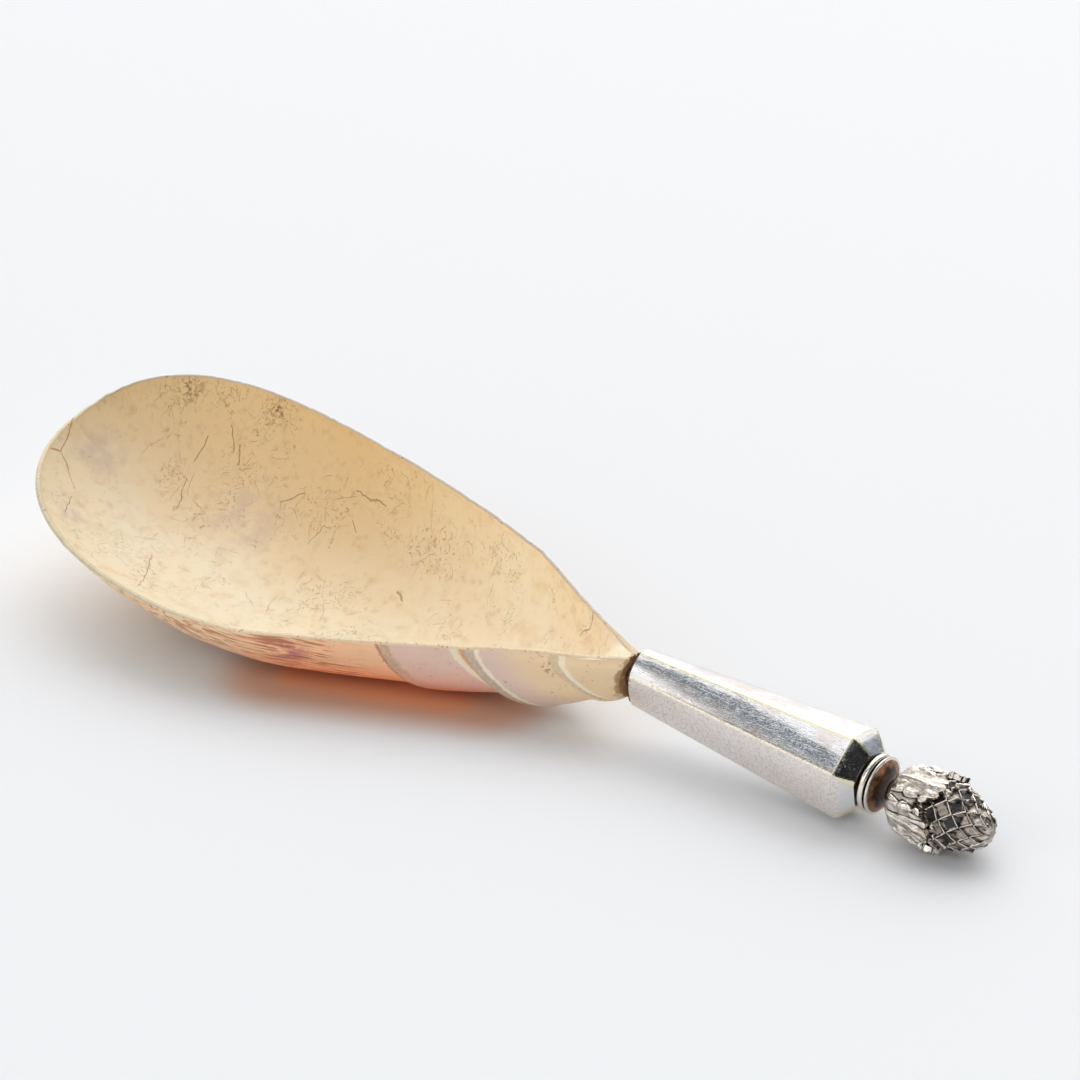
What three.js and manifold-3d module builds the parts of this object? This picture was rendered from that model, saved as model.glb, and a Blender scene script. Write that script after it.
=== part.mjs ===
// A serving spoon: a bowl cut from one sea shell, cemented into a tapering six-sided silver handle
// that ends in a turned neck and a cast pine cone in a cup of leaves.
// Millimetres, +Z up. The spoon is built along X, with the mouth of the handle at X = 0, the tip of
// the bowl at -X, the tip of the cone at +X and the hollow of the bowl upwards. It is then laid down
// the way it rests on a table: on the underside of the bowl and on the finial.
import * as THREE from 'three';
import { mergeVertices } from 'three/addons/utils/BufferGeometryUtils.js';
import Module from 'manifold-3d';

const wasm = await Module();
wasm.setup();

// Shell bowl
const bowlLength = 132.9;
const farHalfWidth = 23.5;
const nearHalfWidth = 35.3;
const tipOffset = -2.5;
const keelOffset = -5.5;
const rimHeight = 4.0;
const bowlDepth = 16.0;
const rimThickness = 1.3;
const floorThickness = 1.8;
const nearSwell = 3.6;
const nearSwellPower = 0.5;
const farSwell = 2.2;
const farSwellPower = 1;
const wornFlat = 0.45;

// Folds of the shell's pillar, from the bowl to the handle: the share of the bowl's length at which
// each crosses the rim and the keel, and how far it stands out
const folds = [
  { rimShare: 0.311, keelShare: 0.277, height: 1.1 },
  { rimShare: 0.206, keelShare: 0.122, height: 3.1 },
  { rimShare: 0.079, keelShare: 0.01, height: 0.7 },
];
const foldEdge = 0.35;
const foldTaper = 1.3;
const farFoldFade = 0.5;
const foldAtRim = 0.12;
const nearFoldPower = 1.6;

// Tang of the shell inside the handle
const tangLength = 15;
const tangHalfWidth = 2.2;
const tangHalfHeight = 2.9;
const tangDrop = 0.8;
const tangRoot = 1.5;
const tangTaper = 0.75;

// Handle: a hexagon with a corner above and below
const handleLength = 44.8;
const mouthHalfWidth = 4.14;
const mouthSideHalf = 3.24;
const mouthHalfHeight = 6.11;
const endHalfWidth = 6.8;
const endSideHalf = 5.05;
const endHalfHeight = 8.2;
const sleeveWall = 0.7;
const cornerWear = 0.4;

// Shoulder that closes the wide end
const shoulderLength = 2.8;
const shoulderTopHalfWidth = 4.8;
const shoulderTopSideHalf = 3.0;
const shoulderTopHalfHeight = 5.4;
const shoulderWall = 0.9;
const shoulderTongue = 2.0;

// Turned neck and flared collar
const recessLength = 0.3;
const recessRadius = 4.3;
const ringLength = 1.1;
const ringRadius = 5.25;
const grooveRadius = 4.5;
const grooveLength = 0.1;
const collarRimLength = 0.5;
const collarRadius = 5.2;
const collarEdge = 0.2;
const collarStep = 0.5;
const collarConeLength = 1.7;
const neckRadius = 2.0;

// Finial
const finialLength = 20.0;
const coneRadius = 5.85;
const scaleHeight = 0.55;
const scaleSharpness = 2.5;
const scalesAround = 10;
const scalePitch = 1.75;
const coneStart = 1.6;
const leafCount = 5;
const leafLength = 11.4;
const leafNotch = 7.6;
const leafRoundness = 2.2;
const leafThickness = 0.55;
const leafCurl = 0.45;
const veinsAcross = 5;
const veinHeight = 0.25;
const lobesAcross = 5;
const lobeDepth = 0.7;
const firstLeaf = THREE.MathUtils.degToRad(98);

// Stud, cement and fits
const studRadius = 0.9;
const studInHandle = 11;
const studInCone = 8;
const clearance = 0.3;
const cementLip = 0.4;
const cementShort = 5;

// Rolled towards its near side when it rests
const restRoll = THREE.MathUtils.degToRad(15);

// How far a cutting tool runs past what it cuts
const past = 1;

// Steps of the meshes
const ribRings = 11;
const stationStep = 4.2;
const capRibs = 12;
const tangSides = 16;
const turnedSegments = 36;
const profileSteps = 6;
const shoulderRows = 3;
const stepsPerScale = 6;
const stepsPerLeaf = 16;
const leafRows = 9;
const coveredConeRows = 3;
const openConeRows = 27;

const silver = { color: 0xc9c5c0, roughness: 0.25, metalness: 1 };
const agedSilver = { color: 0x9c948a, roughness: 0.4, metalness: 1 };

// A smooth curve through a few [place, value] stations, held level past its ends.
function through(stations) {
  const secants = stations.slice(1).map(([x, y], i) => (y - stations[i][1]) / (x - stations[i][0]));
  const slopes = stations.map((_, i) => {
    const before = secants[Math.max(i - 1, 0)];
    const after = secants[Math.min(i, secants.length - 1)];
    return before * after > 0 ? (2 * before * after) / (before + after) : 0;
  });
  const last = stations.length - 1;
  return (x) => {
    if (x <= stations[0][0]) return stations[0][1];
    if (x >= stations[last][0]) return stations[last][1];
    const i = stations.findIndex((station) => station[0] > x) - 1;
    const [x0, y0] = stations[i];
    const [x1, y1] = stations[i + 1];
    const width = x1 - x0;
    const t = (x - x0) / width;
    const eased = t * t * (3 - 2 * t);
    const bend = t * (1 - t) * width * (slopes[i] * (1 - t) - slopes[i + 1] * t);
    return y0 + (y1 - y0) * eased + bend;
  };
}

const smooth = (t) => THREE.MathUtils.smoothstep(t, 0, 1);

// A geometry with its shared corners merged, its empty faces dropped and its faces turned outwards.
function closed(geometry) {
  geometry.deleteAttribute('normal');
  geometry.deleteAttribute('uv');
  const merged = mergeVertices(geometry, 1e-4);
  const corners = merged.index.array;
  const kept = [];
  for (let i = 0; i < corners.length; i += 3) {
    const [a, b, c] = [corners[i], corners[i + 1], corners[i + 2]];
    if (a !== b && b !== c && c !== a) kept.push(a, b, c);
  }
  merged.setIndex(kept);
  if (signedVolume(merged) < 0) merged.setIndex(kept.reverse());
  return merged;
}

// A closed geometry from points and faces of three or four corners.
function closedFrom(points, faces) {
  const geometry = new THREE.BufferGeometry().setFromPoints(points);
  geometry.setIndex(faces.flatMap(([a, b, c, d]) => (d === undefined ? [a, b, c] : [a, b, c, a, c, d])));
  return closed(geometry);
}

function signedVolume(geometry) {
  const position = geometry.attributes.position;
  const index = geometry.index.array;
  const [a, b, c] = [new THREE.Vector3(), new THREE.Vector3(), new THREE.Vector3()];
  let volume = 0;
  for (let i = 0; i < index.length; i += 3) {
    a.fromBufferAttribute(position, index[i]);
    b.fromBufferAttribute(position, index[i + 1]);
    c.fromBufferAttribute(position, index[i + 2]);
    volume += a.dot(b.cross(c)) / 6;
  }
  return volume;
}

function toSolid(geometry) {
  return new wasm.Manifold(new wasm.Mesh({
    numProp: 3,
    vertProperties: new Float32Array(geometry.attributes.position.array),
    triVerts: new Uint32Array(geometry.index.array),
  }));
}

function toGeometry(solid) {
  const mesh = solid.getMesh();
  const geometry = new THREE.BufferGeometry();
  geometry.setAttribute('position', new THREE.BufferAttribute(new Float32Array(mesh.vertProperties), 3));
  geometry.setIndex(Array.from(mesh.triVerts));
  return geometry;
}

function join(...geometries) {
  return toGeometry(geometries.map(toSolid).reduce((whole, piece) => whole.add(piece)));
}

function cut(geometry, ...tools) {
  return toGeometry(tools.map(toSolid).reduce((whole, tool) => whole.subtract(tool), toSolid(geometry)));
}

// A solid through closed rings of points, with flat ends.
function loft(rings) {
  const count = rings[0].length;
  const points = rings.flat();
  const faces = [];
  for (let i = 0; i < rings.length - 1; i += 1) {
    for (let j = 0; j < count; j += 1) {
      const next = (j + 1) % count;
      faces.push([i * count + j, i * count + next, (i + 1) * count + next, (i + 1) * count + j]);
    }
  }
  for (const [ring, turned] of [[0, true], [rings.length - 1, false]]) {
    const middle = points.length;
    const sum = rings[ring].reduce((total, p) => total.add(p), new THREE.Vector3());
    points.push(sum.divideScalar(count));
    for (let j = 0; j < count; j += 1) {
      const a = ring * count + j;
      const b = ring * count + ((j + 1) % count);
      faces.push(turned ? [middle, b, a] : [middle, a, b]);
    }
  }
  return closedFrom(points, faces);
}

// A solid turned about X from [x, radius] points. With a bore, the profile closes on itself.
function turned(profile, bore = 0) {
  const start = profile[0][0];
  const end = profile[profile.length - 1][0];
  const outline = [[start, bore], ...profile, [end, bore]];
  if (bore > 0) outline.push([start, bore]);
  const points = outline.map(([x, radius]) => new THREE.Vector2(radius, x));
  return closed(new THREE.LatheGeometry(points, turnedSegments).rotateZ(-Math.PI / 2));
}

// The six corners of the handle's section, each taken off by its wear.
function hexagon(x, halfWidth, sideHalf, halfHeight, wear) {
  const corners = [
    [halfWidth, sideHalf],
    [0, halfHeight],
    [-halfWidth, sideHalf],
    [-halfWidth, -sideHalf],
    [0, -halfHeight],
    [halfWidth, -sideHalf],
  ].map(([y, z]) => new THREE.Vector3(x, y, z));
  return corners.flatMap((corner, i) => {
    const before = corners[(i + 5) % 6];
    const after = corners[(i + 1) % 6];
    return [before, after].map((other) => {
      const way = other.clone().sub(corner).normalize();
      return corner.clone().addScaledVector(way, wear);
    });
  });
}

// The handle's section at a place along it, drawn in evenly on all sides.
function handleSection(x, inset = 0) {
  const t = x / handleLength;
  const halfWidth = THREE.MathUtils.lerp(mouthHalfWidth, endHalfWidth, t);
  const sideHalf = THREE.MathUtils.lerp(mouthSideHalf, endSideHalf, t);
  const halfHeight = THREE.MathUtils.lerp(mouthHalfHeight, endHalfHeight, t);
  const share = (halfWidth - inset) / halfWidth;
  return hexagon(x, halfWidth * share, sideHalf * share, halfHeight * share, cornerWear * share);
}

// Where the bowl begins, just in front of the handle's mouth
const bowlStart = cementLip + 2 * clearance;

// The bowl's outline and keel: shares of its sizes against the share of its length from the handle
const farNeck = through([[0, 0.04], [0.1, 0.25], [0.235, 0.583]]);
const farSide = through([[0.235, 0.583], [0.37, 0.766], [0.537, 0.915], [0.733, 1], [1, 1]]);
const nearSide = through([
  [0, 0.06], [0.04, 0.122], [0.13, 0.261], [0.258, 0.51], [0.406, 0.782], [0.507, 0.94], [0.619, 1],
  [1, 1],
]);
const farWidest = 0.733;
const nearWidest = 0.619;
const farCorner = 0.235;
const farFullness = 2.6;
const nearFullness = 2.15;
const capStart = 0.64;
const capFocus = 0.709;
const keelSide = through([[0, 0.05], [0.115, 0.15], [0.275, 0.27], [0.433, 0.73], [0.57, 1]]);
const keelDepth = through([
  [0, 0.2], [0.03, 0.23], [0.075, 0.37], [0.165, 0.64], [0.278, 0.875], [0.436, 1], [0.573, 0.9875],
  [0.709, 0.9], [1, 0.9],
]);
const farRimRise = through([[0, -0.4], [0.075, 0.4], [0.45, 0]]);
const nearRimRise = through([[0, 1.2], [0.075, 0.4], [0.45, 0]]);
const roundness = through([[0, 2], [0.278, 2.1], [0.436, 2.2], [0.573, 2.2], [0.716, 2], [1, 2]]);
const farSteepness = through([
  [0, 2], [0.278, 1.8], [0.436, 1.7], [0.573, 1.6], [0.716, 1.4], [0.83, 1.2], [1, 1.15],
]);
const nearSteepness = through([
  [0, 2], [0.15, 2], [0.278, 1.75], [0.436, 1.75], [0.573, 1.6], [0.716, 1.3], [0.83, 1.15], [1, 1.15],
]);
const channelFill = through([[0, 6.6], [0.045, 4.9], [0.09, 3], [0.165, 1.2], [0.28, 0.5], [0.4, 0]]);
const swell = through([[0, 1], [0.03, 0.9], [0.08, 0.45], [0.16, 0]]);
const foldSweep = through([[0.28, 1], [0.43, 0]]);
const nearLean = through([
  [0, 0],
  ...folds.map(({ keelShare, rimShare }) => [keelShare, rimShare]).reverse(),
  [0.43, 0.43],
  [capStart, nearWidest],
]);

// How far the folds stand out at a share of the keel's length
function foldHeight(share) {
  for (let i = 0; i < folds.length; i += 1) {
    const next = i + 1 < folds.length ? folds[i + 1].keelShare + foldEdge / bowlLength : 0;
    if (share <= folds[i].keelShare && share > next) {
      const t = (folds[i].keelShare - share) / (folds[i].keelShare - next);
      return folds[i].height * (1 - t ** foldTaper);
    }
  }
  return 0;
}

// The stations along the keel, with a pair of them at each fold's edge
function keelStations() {
  const edges = folds.flatMap(({ keelShare }) => [keelShare, keelShare + foldEdge / bowlLength]);
  const stops = [0, ...edges, capStart].sort((a, b) => a - b);
  const stations = [0];
  for (let i = 1; i < stops.length; i += 1) {
    const gap = stops[i] - stops[i - 1];
    const steps = Math.ceil((gap * bowlLength) / stationStep);
    for (let k = 1; k <= steps; k += 1) stations.push(stops[i - 1] + (gap * k) / steps);
  }
  return stations;
}

// A point of the outline, as a share of the length and a width, on one side of the bowl
function outlinePoint(side, share, halfWidth, widest, fullness, turn) {
  const tip = tipOffset;
  if (turn > 0) {
    const reach = widest + (1 - widest) * Math.sin(turn) ** (2 / fullness);
    return [reach, tip + (side * halfWidth - tip) * Math.cos(turn) ** (2 / fullness)];
  }
  return [share, side > 0 ? farWidth(share) : -nearHalfWidth * nearSide(share)];
}

function farWidth(share) {
  return farHalfWidth * (share < farCorner ? farNeck(share) : farSide(share));
}

// One rib of the bowl: where it leaves the keel and where it meets the rim
function rib(side, station, turn) {
  const keelShare = turn > 0 ? capStart + (capFocus - capStart) * Math.sin(turn) : station;
  const [rimShare, rimY] = side > 0
    ? outlinePoint(1, (station * farWidest) / capStart, farHalfWidth, farWidest, farFullness, turn)
    : outlinePoint(-1, nearLean(station), nearHalfWidth, nearWidest, nearFullness, turn);
  const rise = side > 0 ? farRimRise(rimShare) : nearRimRise(rimShare);
  return {
    side,
    keelShare,
    rimShare,
    keel: new THREE.Vector3(-bowlStart - keelShare * bowlLength, keelOffset * keelSide(keelShare), 0),
    rim: new THREE.Vector3(-bowlStart - rimShare * bowlLength, rimY, rimHeight + rise),
  };
}

// All ribs, from the handle round the tip and back along the near side
function allRibs() {
  const stations = keelStations();
  const turns = Array.from({ length: capRibs }, (_, i) => ((i + 1) / capRibs) * (Math.PI / 2));
  const half = (side) => [
    ...stations.map((station) => rib(side, station, 0)),
    ...turns.map((turn) => rib(side, capStart, turn)),
  ];
  return [...half(1), ...half(-1).slice(0, -1).reverse()];
}

// The points of one rib between the keel and the rim, on the outer or the inner face
function ribPoints({ side, keelShare, rimShare, keel, rim }, inward) {
  const inner = inward !== null;
  const edge = inner ? rim.clone().add(inward) : rim;
  const outerDepth = -bowlDepth * keelDepth(keelShare);
  const keelZ = inner ? outerDepth + floorThickness + channelFill(keelShare) : outerDepth;
  const round = roundness(rimShare);
  const steep = side > 0 ? farSteepness(rimShare) : nearSteepness(rimShare);
  const points = [];
  for (let j = 0; j <= ribRings; j += 1) {
    const angle = ((j / ribRings) * Math.PI) / 2;
    const across = Math.sin(angle) ** (2 / round);
    const down = Math.cos(angle) ** (2 / steep);
    const point = new THREE.Vector3().lerpVectors(keel, edge, across);
    const swept = THREE.MathUtils.lerp(edge.x, keel.x, down);
    if (side < 0) point.x = THREE.MathUtils.lerp(point.x, swept, foldSweep(keelShare));
    point.z = edge.z - (edge.z - keelZ) * down;
    if (!inner) {
      const bulge = 4 * down * (1 - down);
      const swelling = side < 0 ? -nearSwell * bulge ** nearSwellPower : farSwell * bulge ** farSwellPower;
      point.y += swell(keelShare) * swelling;
      const nearFade = THREE.MathUtils.lerp(foldAtRim, 1, down ** nearFoldPower);
      const fade = side < 0 ? nearFade : smooth(1 - across / farFoldFade);
      const way = new THREE.Vector3(0, point.y - keel.y, point.z - rimHeight).normalize();
      point.addScaledVector(way, foldHeight(keelShare) * fade);
    }
    points.push(point);
  }
  return points;
}

// The bowl, closed along its rim and at the handle
function bowlGeometry() {
  const ribs = allRibs();
  const outer = ribs.map((one) => ribPoints(one, null));
  const inner = ribs.map((one, i) => {
    const before = ribs[Math.max(i - 1, 0)].rim;
    const after = ribs[Math.min(i + 1, ribs.length - 1)].rim;
    const along = after.clone().sub(before).setZ(0).normalize();
    const opening = Math.abs(farWidth(one.rimShare) + nearHalfWidth * nearSide(one.rimShare));
    const thickness = Math.min(rimThickness, one.rimShare < farCorner ? opening / 3 : rimThickness);
    return ribPoints(one, new THREE.Vector3(-along.y, along.x, 0).multiplyScalar(thickness));
  });
  const rings = ribRings + 1;
  const sheet = ribs.length * rings;
  const points = [...outer.flat(), ...inner.flat()];
  const out = (i, j) => i * rings + j;
  const into = (i, j) => sheet + i * rings + j;
  const faces = [];
  for (let i = 0; i < ribs.length - 1; i += 1) {
    for (let j = 0; j < ribRings; j += 1) {
      faces.push([out(i, j), out(i, j + 1), out(i + 1, j + 1), out(i + 1, j)]);
      faces.push([into(i, j), into(i + 1, j), into(i + 1, j + 1), into(i, j + 1)]);
    }
    faces.push([out(i, ribRings), into(i, ribRings), into(i + 1, ribRings), out(i + 1, ribRings)]);
  }
  for (const [i, mirrored] of [[0, false], [ribs.length - 1, true]]) {
    for (let j = 0; j < ribRings; j += 1) {
      const face = [out(i, j), into(i, j), into(i, j + 1), out(i, j + 1)];
      faces.push(mirrored ? face.reverse() : face);
    }
  }
  return closedFrom(points, faces);
}

// The tang's section: a rounded bar, grown by the clearance where the cement goes round it
function tangSection(x, grow = 0) {
  const share = THREE.MathUtils.lerp(1, tangTaper, Math.max(x, 0) / tangLength);
  return Array.from({ length: tangSides }, (_, i) => {
    const angle = (i / tangSides) * Math.PI * 2;
    const y = (tangHalfWidth * share + grow) * Math.cos(angle);
    const z = (tangHalfHeight * share + grow) * Math.sin(angle) - tangDrop;
    return new THREE.Vector3(x, y, z);
  });
}

function shellGeometry() {
  const tang = loft([tangSection(-bowlStart - tangRoot), tangSection(0), tangSection(tangLength)]);
  return join(bowlGeometry(), tang);
}

// A hole for the stud, from one place along the spoon to another
function studHole(from, to) {
  return turned([[from, studRadius + clearance], [to, studRadius + clearance]]);
}

// The cement that fills the handle round the tang and stands a little way out of its mouth
function cementGeometry() {
  const inset = sleeveWall + clearance;
  const lipStart = -clearance - cementLip;
  const lip = loft([handleSection(lipStart, clearance), handleSection(-clearance, clearance)]);
  const filling = loft([
    handleSection(lipStart + cementLip / 2, inset),
    handleSection(handleLength - cementShort, inset),
  ]);
  const tangHole = loft([
    tangSection(lipStart - past, clearance),
    tangSection(0, clearance),
    tangSection(tangLength + clearance, clearance),
  ]);
  const hole = studHole(handleLength - studInHandle - clearance, handleLength + past);
  return cut(join(lip, filling), tangHole, hole);
}

// The hollow six-sided tube of the handle
function sleeveGeometry() {
  const outer = loft([handleSection(0), handleSection(handleLength)]);
  const inner = loft([handleSection(-past, sleeveWall), handleSection(handleLength + past, sleeveWall)]);
  return cut(outer, inner);
}

const shoulderStart = handleLength + clearance;
const shoulderEnd = shoulderStart + shoulderLength;

// The shoulder's section between the end of the sleeve and its own smaller top
function shoulderSection(t, inset = 0) {
  const narrowing = t ** 1.5;
  const halfWidth = THREE.MathUtils.lerp(endHalfWidth, shoulderTopHalfWidth, narrowing);
  const sideHalf = THREE.MathUtils.lerp(endSideHalf, shoulderTopSideHalf, narrowing);
  const halfHeight = THREE.MathUtils.lerp(endHalfHeight, shoulderTopHalfHeight, narrowing);
  const share = (halfWidth - inset) / halfWidth;
  const x = shoulderStart + t * shoulderLength;
  const wear = cornerWear * (1 + t) * share;
  return hexagon(x, halfWidth * share, sideHalf * share, halfHeight * share, wear);
}

// The shoulder: a hollow cap whose tongue fits the end of the sleeve
function shoulderGeometry() {
  const tongueInset = sleeveWall + clearance;
  const tongueEnd = shoulderStart + clearance;
  const steps = Array.from({ length: shoulderRows + 1 }, (_, i) => i / shoulderRows);
  const body = loft(steps.map((t) => shoulderSection(t)));
  const tongue = loft([
    handleSection(handleLength - shoulderTongue, tongueInset),
    handleSection(tongueEnd, tongueInset),
  ]);
  const hollow = loft([
    handleSection(handleLength - shoulderTongue - past, tongueInset + shoulderWall),
    handleSection(tongueEnd, tongueInset + shoulderWall),
    shoulderSection(1 - shoulderWall / shoulderLength, 2 * shoulderWall),
  ]);
  return cut(join(body, tongue), hollow, studHole(handleLength, shoulderEnd + past));
}

const ringStart = shoulderEnd + clearance;
const ringEnd = ringStart + recessLength + ringLength;
const collarStart = ringEnd + clearance;
const collarEnd = collarStart + grooveLength + collarRimLength + collarConeLength;

// A spigot and a half-round ring
function neckRingGeometry() {
  const half = ringLength / 2;
  const profile = [[ringStart, recessRadius], [ringEnd - ringLength, recessRadius]];
  for (let i = 0; i <= profileSteps; i += 1) {
    const angle = Math.PI * (i / profileSteps);
    profile.push([ringEnd - half - half * Math.cos(angle), ringRadius - half + half * Math.sin(angle)]);
  }
  return turned(profile, studRadius + clearance);
}

// A groove, a thin rim and a hollow-sided cone that runs down to the finial's neck
function collarGeometry() {
  const rimStart = collarStart + grooveLength;
  const rimEnd = rimStart + collarRimLength;
  const profile = [
    [collarStart, grooveRadius],
    [rimStart, grooveRadius],
    [rimStart, collarRadius - collarEdge],
    [(rimStart + rimEnd) / 2, collarRadius],
    [rimEnd, collarRadius - collarEdge],
  ];
  for (let i = 1; i <= profileSteps; i += 1) {
    const t = i / profileSteps;
    const radius = THREE.MathUtils.lerp(neckRadius, collarRadius - collarStep, (1 - t) ** 2);
    profile.push([rimEnd + t * collarConeLength, radius]);
  }
  return turned(profile, studRadius + clearance);
}

const finialStart = collarEnd + clearance;

// The smooth core of the finial: shares of its radius against shares of its length
const coreRadius = coneRadius - scaleHeight;
const coreShape = through([
  [0, 0.38], [0.05, 0.55], [0.1, 0.78], [0.2, 0.95], [0.3, 1], [0.6, 1], [0.7, 0.9], [0.8, 0.74],
  [0.9, 0.54], [0.96, 0.34], [1, 0.02],
]);

function core(along) {
  return coreRadius * coreShape(along / finialLength);
}

// How far round its leaf an angle lies: 0 on the midrib, 1 or -1 between two leaves
function acrossLeaf(angle) {
  const turns = ((angle - firstLeaf) / (Math.PI * 2)) * leafCount;
  return 2 * (turns - Math.round(turns));
}

// How far a leaf reaches from the finial's foot, with lobes along its edge
function leafReach(angle) {
  const across = Math.abs(acrossLeaf(angle));
  const outline = THREE.MathUtils.lerp(leafLength, leafNotch, across ** leafRoundness);
  const lobe = Math.abs(Math.cos((across * Math.PI * lobesAcross) / 2));
  return outline - lobeDepth * (1 - lobe);
}

// How high a leaf's face stands over the core: its veins fan out from the foot and its edge curls up
function leafHeight(along, angle) {
  const vein = 0.5 - 0.5 * Math.cos(acrossLeaf(angle) * Math.PI * veinsAcross);
  const rooted = smooth(along / coneStart);
  return (clearance + leafThickness + veinHeight * vein) * rooted + leafLift(along, angle);
}

// How far the leaf's edge curls away from the cone
function leafLift(along, angle) {
  return leafCurl * (along / leafReach(angle)) ** 3;
}

// The cone's scales: lozenges in two crossing spirals, only past the leaves
function scaleRelief(along, angle) {
  const round = (angle / (Math.PI * 2)) * scalesAround;
  const rows = along / scalePitch;
  const a = round + rows / 2;
  const b = round - rows / 2;
  const fromMiddle = Math.max(Math.abs(a - Math.round(a)), Math.abs(b - Math.round(b))) * 2;
  const uncovered = smooth((along - leafReach(angle) - clearance) / (scalePitch / 3));
  return scaleHeight * (1 - fromMiddle ** scaleSharpness) * uncovered;
}

// A ring of points round the finial, from functions of the angle
function finialRing(count, along, radius) {
  return Array.from({ length: count }, (_, i) => {
    const angle = (i / count) * Math.PI * 2;
    const place = along(angle);
    const out = radius(place, angle);
    return new THREE.Vector3(finialStart + place, out * Math.cos(angle), out * Math.sin(angle));
  });
}

function coneGeometry() {
  const places = [];
  for (let i = 0; i < coveredConeRows; i += 1) {
    places.push(THREE.MathUtils.lerp(coneStart, leafNotch, i / coveredConeRows));
  }
  for (let i = 0; i <= openConeRows; i += 1) {
    const t = Math.sin(((i / openConeRows) * Math.PI) / 2);
    places.push(THREE.MathUtils.lerp(leafNotch, finialLength, t));
  }
  const rings = places.map((place) => {
    const shrink = Math.min(1, core(place) / (coreRadius / 2));
    const radius = (along, angle) => core(along) + shrink * scaleRelief(along, angle);
    return finialRing(stepsPerScale * scalesAround, () => place, radius);
  });
  return cut(loft(rings), studHole(finialStart, finialStart + studInCone + clearance));
}

// The cup of leaves that the cone sits in
function leafCupGeometry() {
  const around = stepsPerLeaf * leafCount;
  const floor = coneStart - clearance;
  const shares = Array.from({ length: leafRows + 1 }, (_, i) => i / leafRows);
  const outside = shares.map((share) => finialRing(
    around,
    (angle) => share * leafReach(angle),
    (along, angle) => core(along) + leafHeight(along, angle),
  ));
  const inside = shares.map((share) => finialRing(
    around,
    (angle) => THREE.MathUtils.lerp(floor, leafReach(angle), share),
    (along, angle) => core(along) + clearance + leafLift(along, angle),
  ));
  return cut(loft([...outside, ...inside.reverse()]), studHole(finialStart - past, finialStart + coneStart));
}

// The stud that runs from the cement through the neck into the cone
function studGeometry() {
  return turned([[handleLength - studInHandle, studRadius], [finialStart + studInCone, studRadius]]);
}

function piece(name, geometry, look) {
  geometry.computeVertexNormals();
  const mesh = new THREE.Mesh(geometry, new THREE.MeshStandardMaterial(look));
  mesh.name = name;
  return mesh;
}

// The lowest height of a geometry once the spoon is rolled and pitched
function lowest(geometry, pitch) {
  const turn = new THREE.Matrix4().makeRotationFromEuler(new THREE.Euler(restRoll, pitch, 0, 'YXZ'));
  const point = new THREE.Vector3();
  const position = geometry.attributes.position;
  let low = Infinity;
  for (let i = 0; i < position.count; i += 1) {
    low = Math.min(low, point.fromBufferAttribute(position, i).applyMatrix4(turn).z);
  }
  return low;
}

// The pitch at which the worn flat of the bowl and the finial touch the table together
function restingPitch(shell, finial) {
  let low = 0;
  let high = THREE.MathUtils.degToRad(30);
  for (let i = 0; i < 40; i += 1) {
    const pitch = (low + high) / 2;
    if (lowest(shell, pitch) + wornFlat > lowest(finial, pitch)) high = pitch;
    else low = pitch;
  }
  return (low + high) / 2;
}

// The underside of the bowl, worn flat where it rests
function wearFlat(shell, pitch) {
  const size = 2 * bowlLength;
  const table = closed(new THREE.BoxGeometry(size, size, size));
  table.translate(0, 0, lowest(shell, pitch) + wornFlat - size / 2);
  const turn = new THREE.Matrix4().makeRotationFromEuler(new THREE.Euler(restRoll, pitch, 0, 'YXZ'));
  table.applyMatrix4(turn.invert());
  return cut(shell, table);
}

const shell = shellGeometry();
const leafCup = leafCupGeometry();
const cone = coneGeometry();
const pitch = restingPitch(shell, join(leafCup, cone));

const spoon = new THREE.Group();
spoon.rotation.set(restRoll, pitch, 0, 'YXZ');
spoon.add(piece('shell_bowl', wearFlat(shell, pitch), { color: 0xe6cfa2, roughness: 0.45, metalness: 0 }));
spoon.add(piece('cement_filling', cementGeometry(), { color: 0x3a2418, roughness: 0.9, metalness: 0 }));
spoon.add(piece('handle_sleeve', sleeveGeometry(), silver));
spoon.add(piece('handle_shoulder', shoulderGeometry(), silver));
spoon.add(piece('neck_ring', neckRingGeometry(), silver));
spoon.add(piece('flared_collar', collarGeometry(), agedSilver));
spoon.add(piece('finial_stud', studGeometry(), agedSilver));
spoon.add(piece('leaf_cup', leafCup, silver));
spoon.add(piece('pine_cone', cone, agedSilver));

// The middle of the spoon's footprint lies at the origin
spoon.updateMatrixWorld(true);
const box = new THREE.Box3().setFromObject(spoon, true);
spoon.position.set(-(box.min.x + box.max.x) / 2, -(box.min.y + box.max.y) / 2, -box.min.z);

const object = new THREE.Group();
object.add(spoon);

export default object;
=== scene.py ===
import math

import bmesh
import bpy
import numpy as np
from mathutils import Matrix, Vector, noise


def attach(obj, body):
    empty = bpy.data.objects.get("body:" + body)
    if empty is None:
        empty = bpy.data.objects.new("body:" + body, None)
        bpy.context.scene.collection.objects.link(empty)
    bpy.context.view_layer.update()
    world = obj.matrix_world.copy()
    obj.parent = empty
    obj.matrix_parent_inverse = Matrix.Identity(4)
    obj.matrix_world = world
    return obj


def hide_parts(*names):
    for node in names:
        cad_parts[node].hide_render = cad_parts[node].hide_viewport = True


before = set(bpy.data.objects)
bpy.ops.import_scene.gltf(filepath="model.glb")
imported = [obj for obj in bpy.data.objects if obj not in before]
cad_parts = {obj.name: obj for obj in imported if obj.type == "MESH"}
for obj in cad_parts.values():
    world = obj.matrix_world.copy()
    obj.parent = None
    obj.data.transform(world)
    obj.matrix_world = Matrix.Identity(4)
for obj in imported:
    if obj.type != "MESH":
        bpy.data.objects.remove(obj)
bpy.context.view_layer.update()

scene = bpy.context.scene

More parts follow.
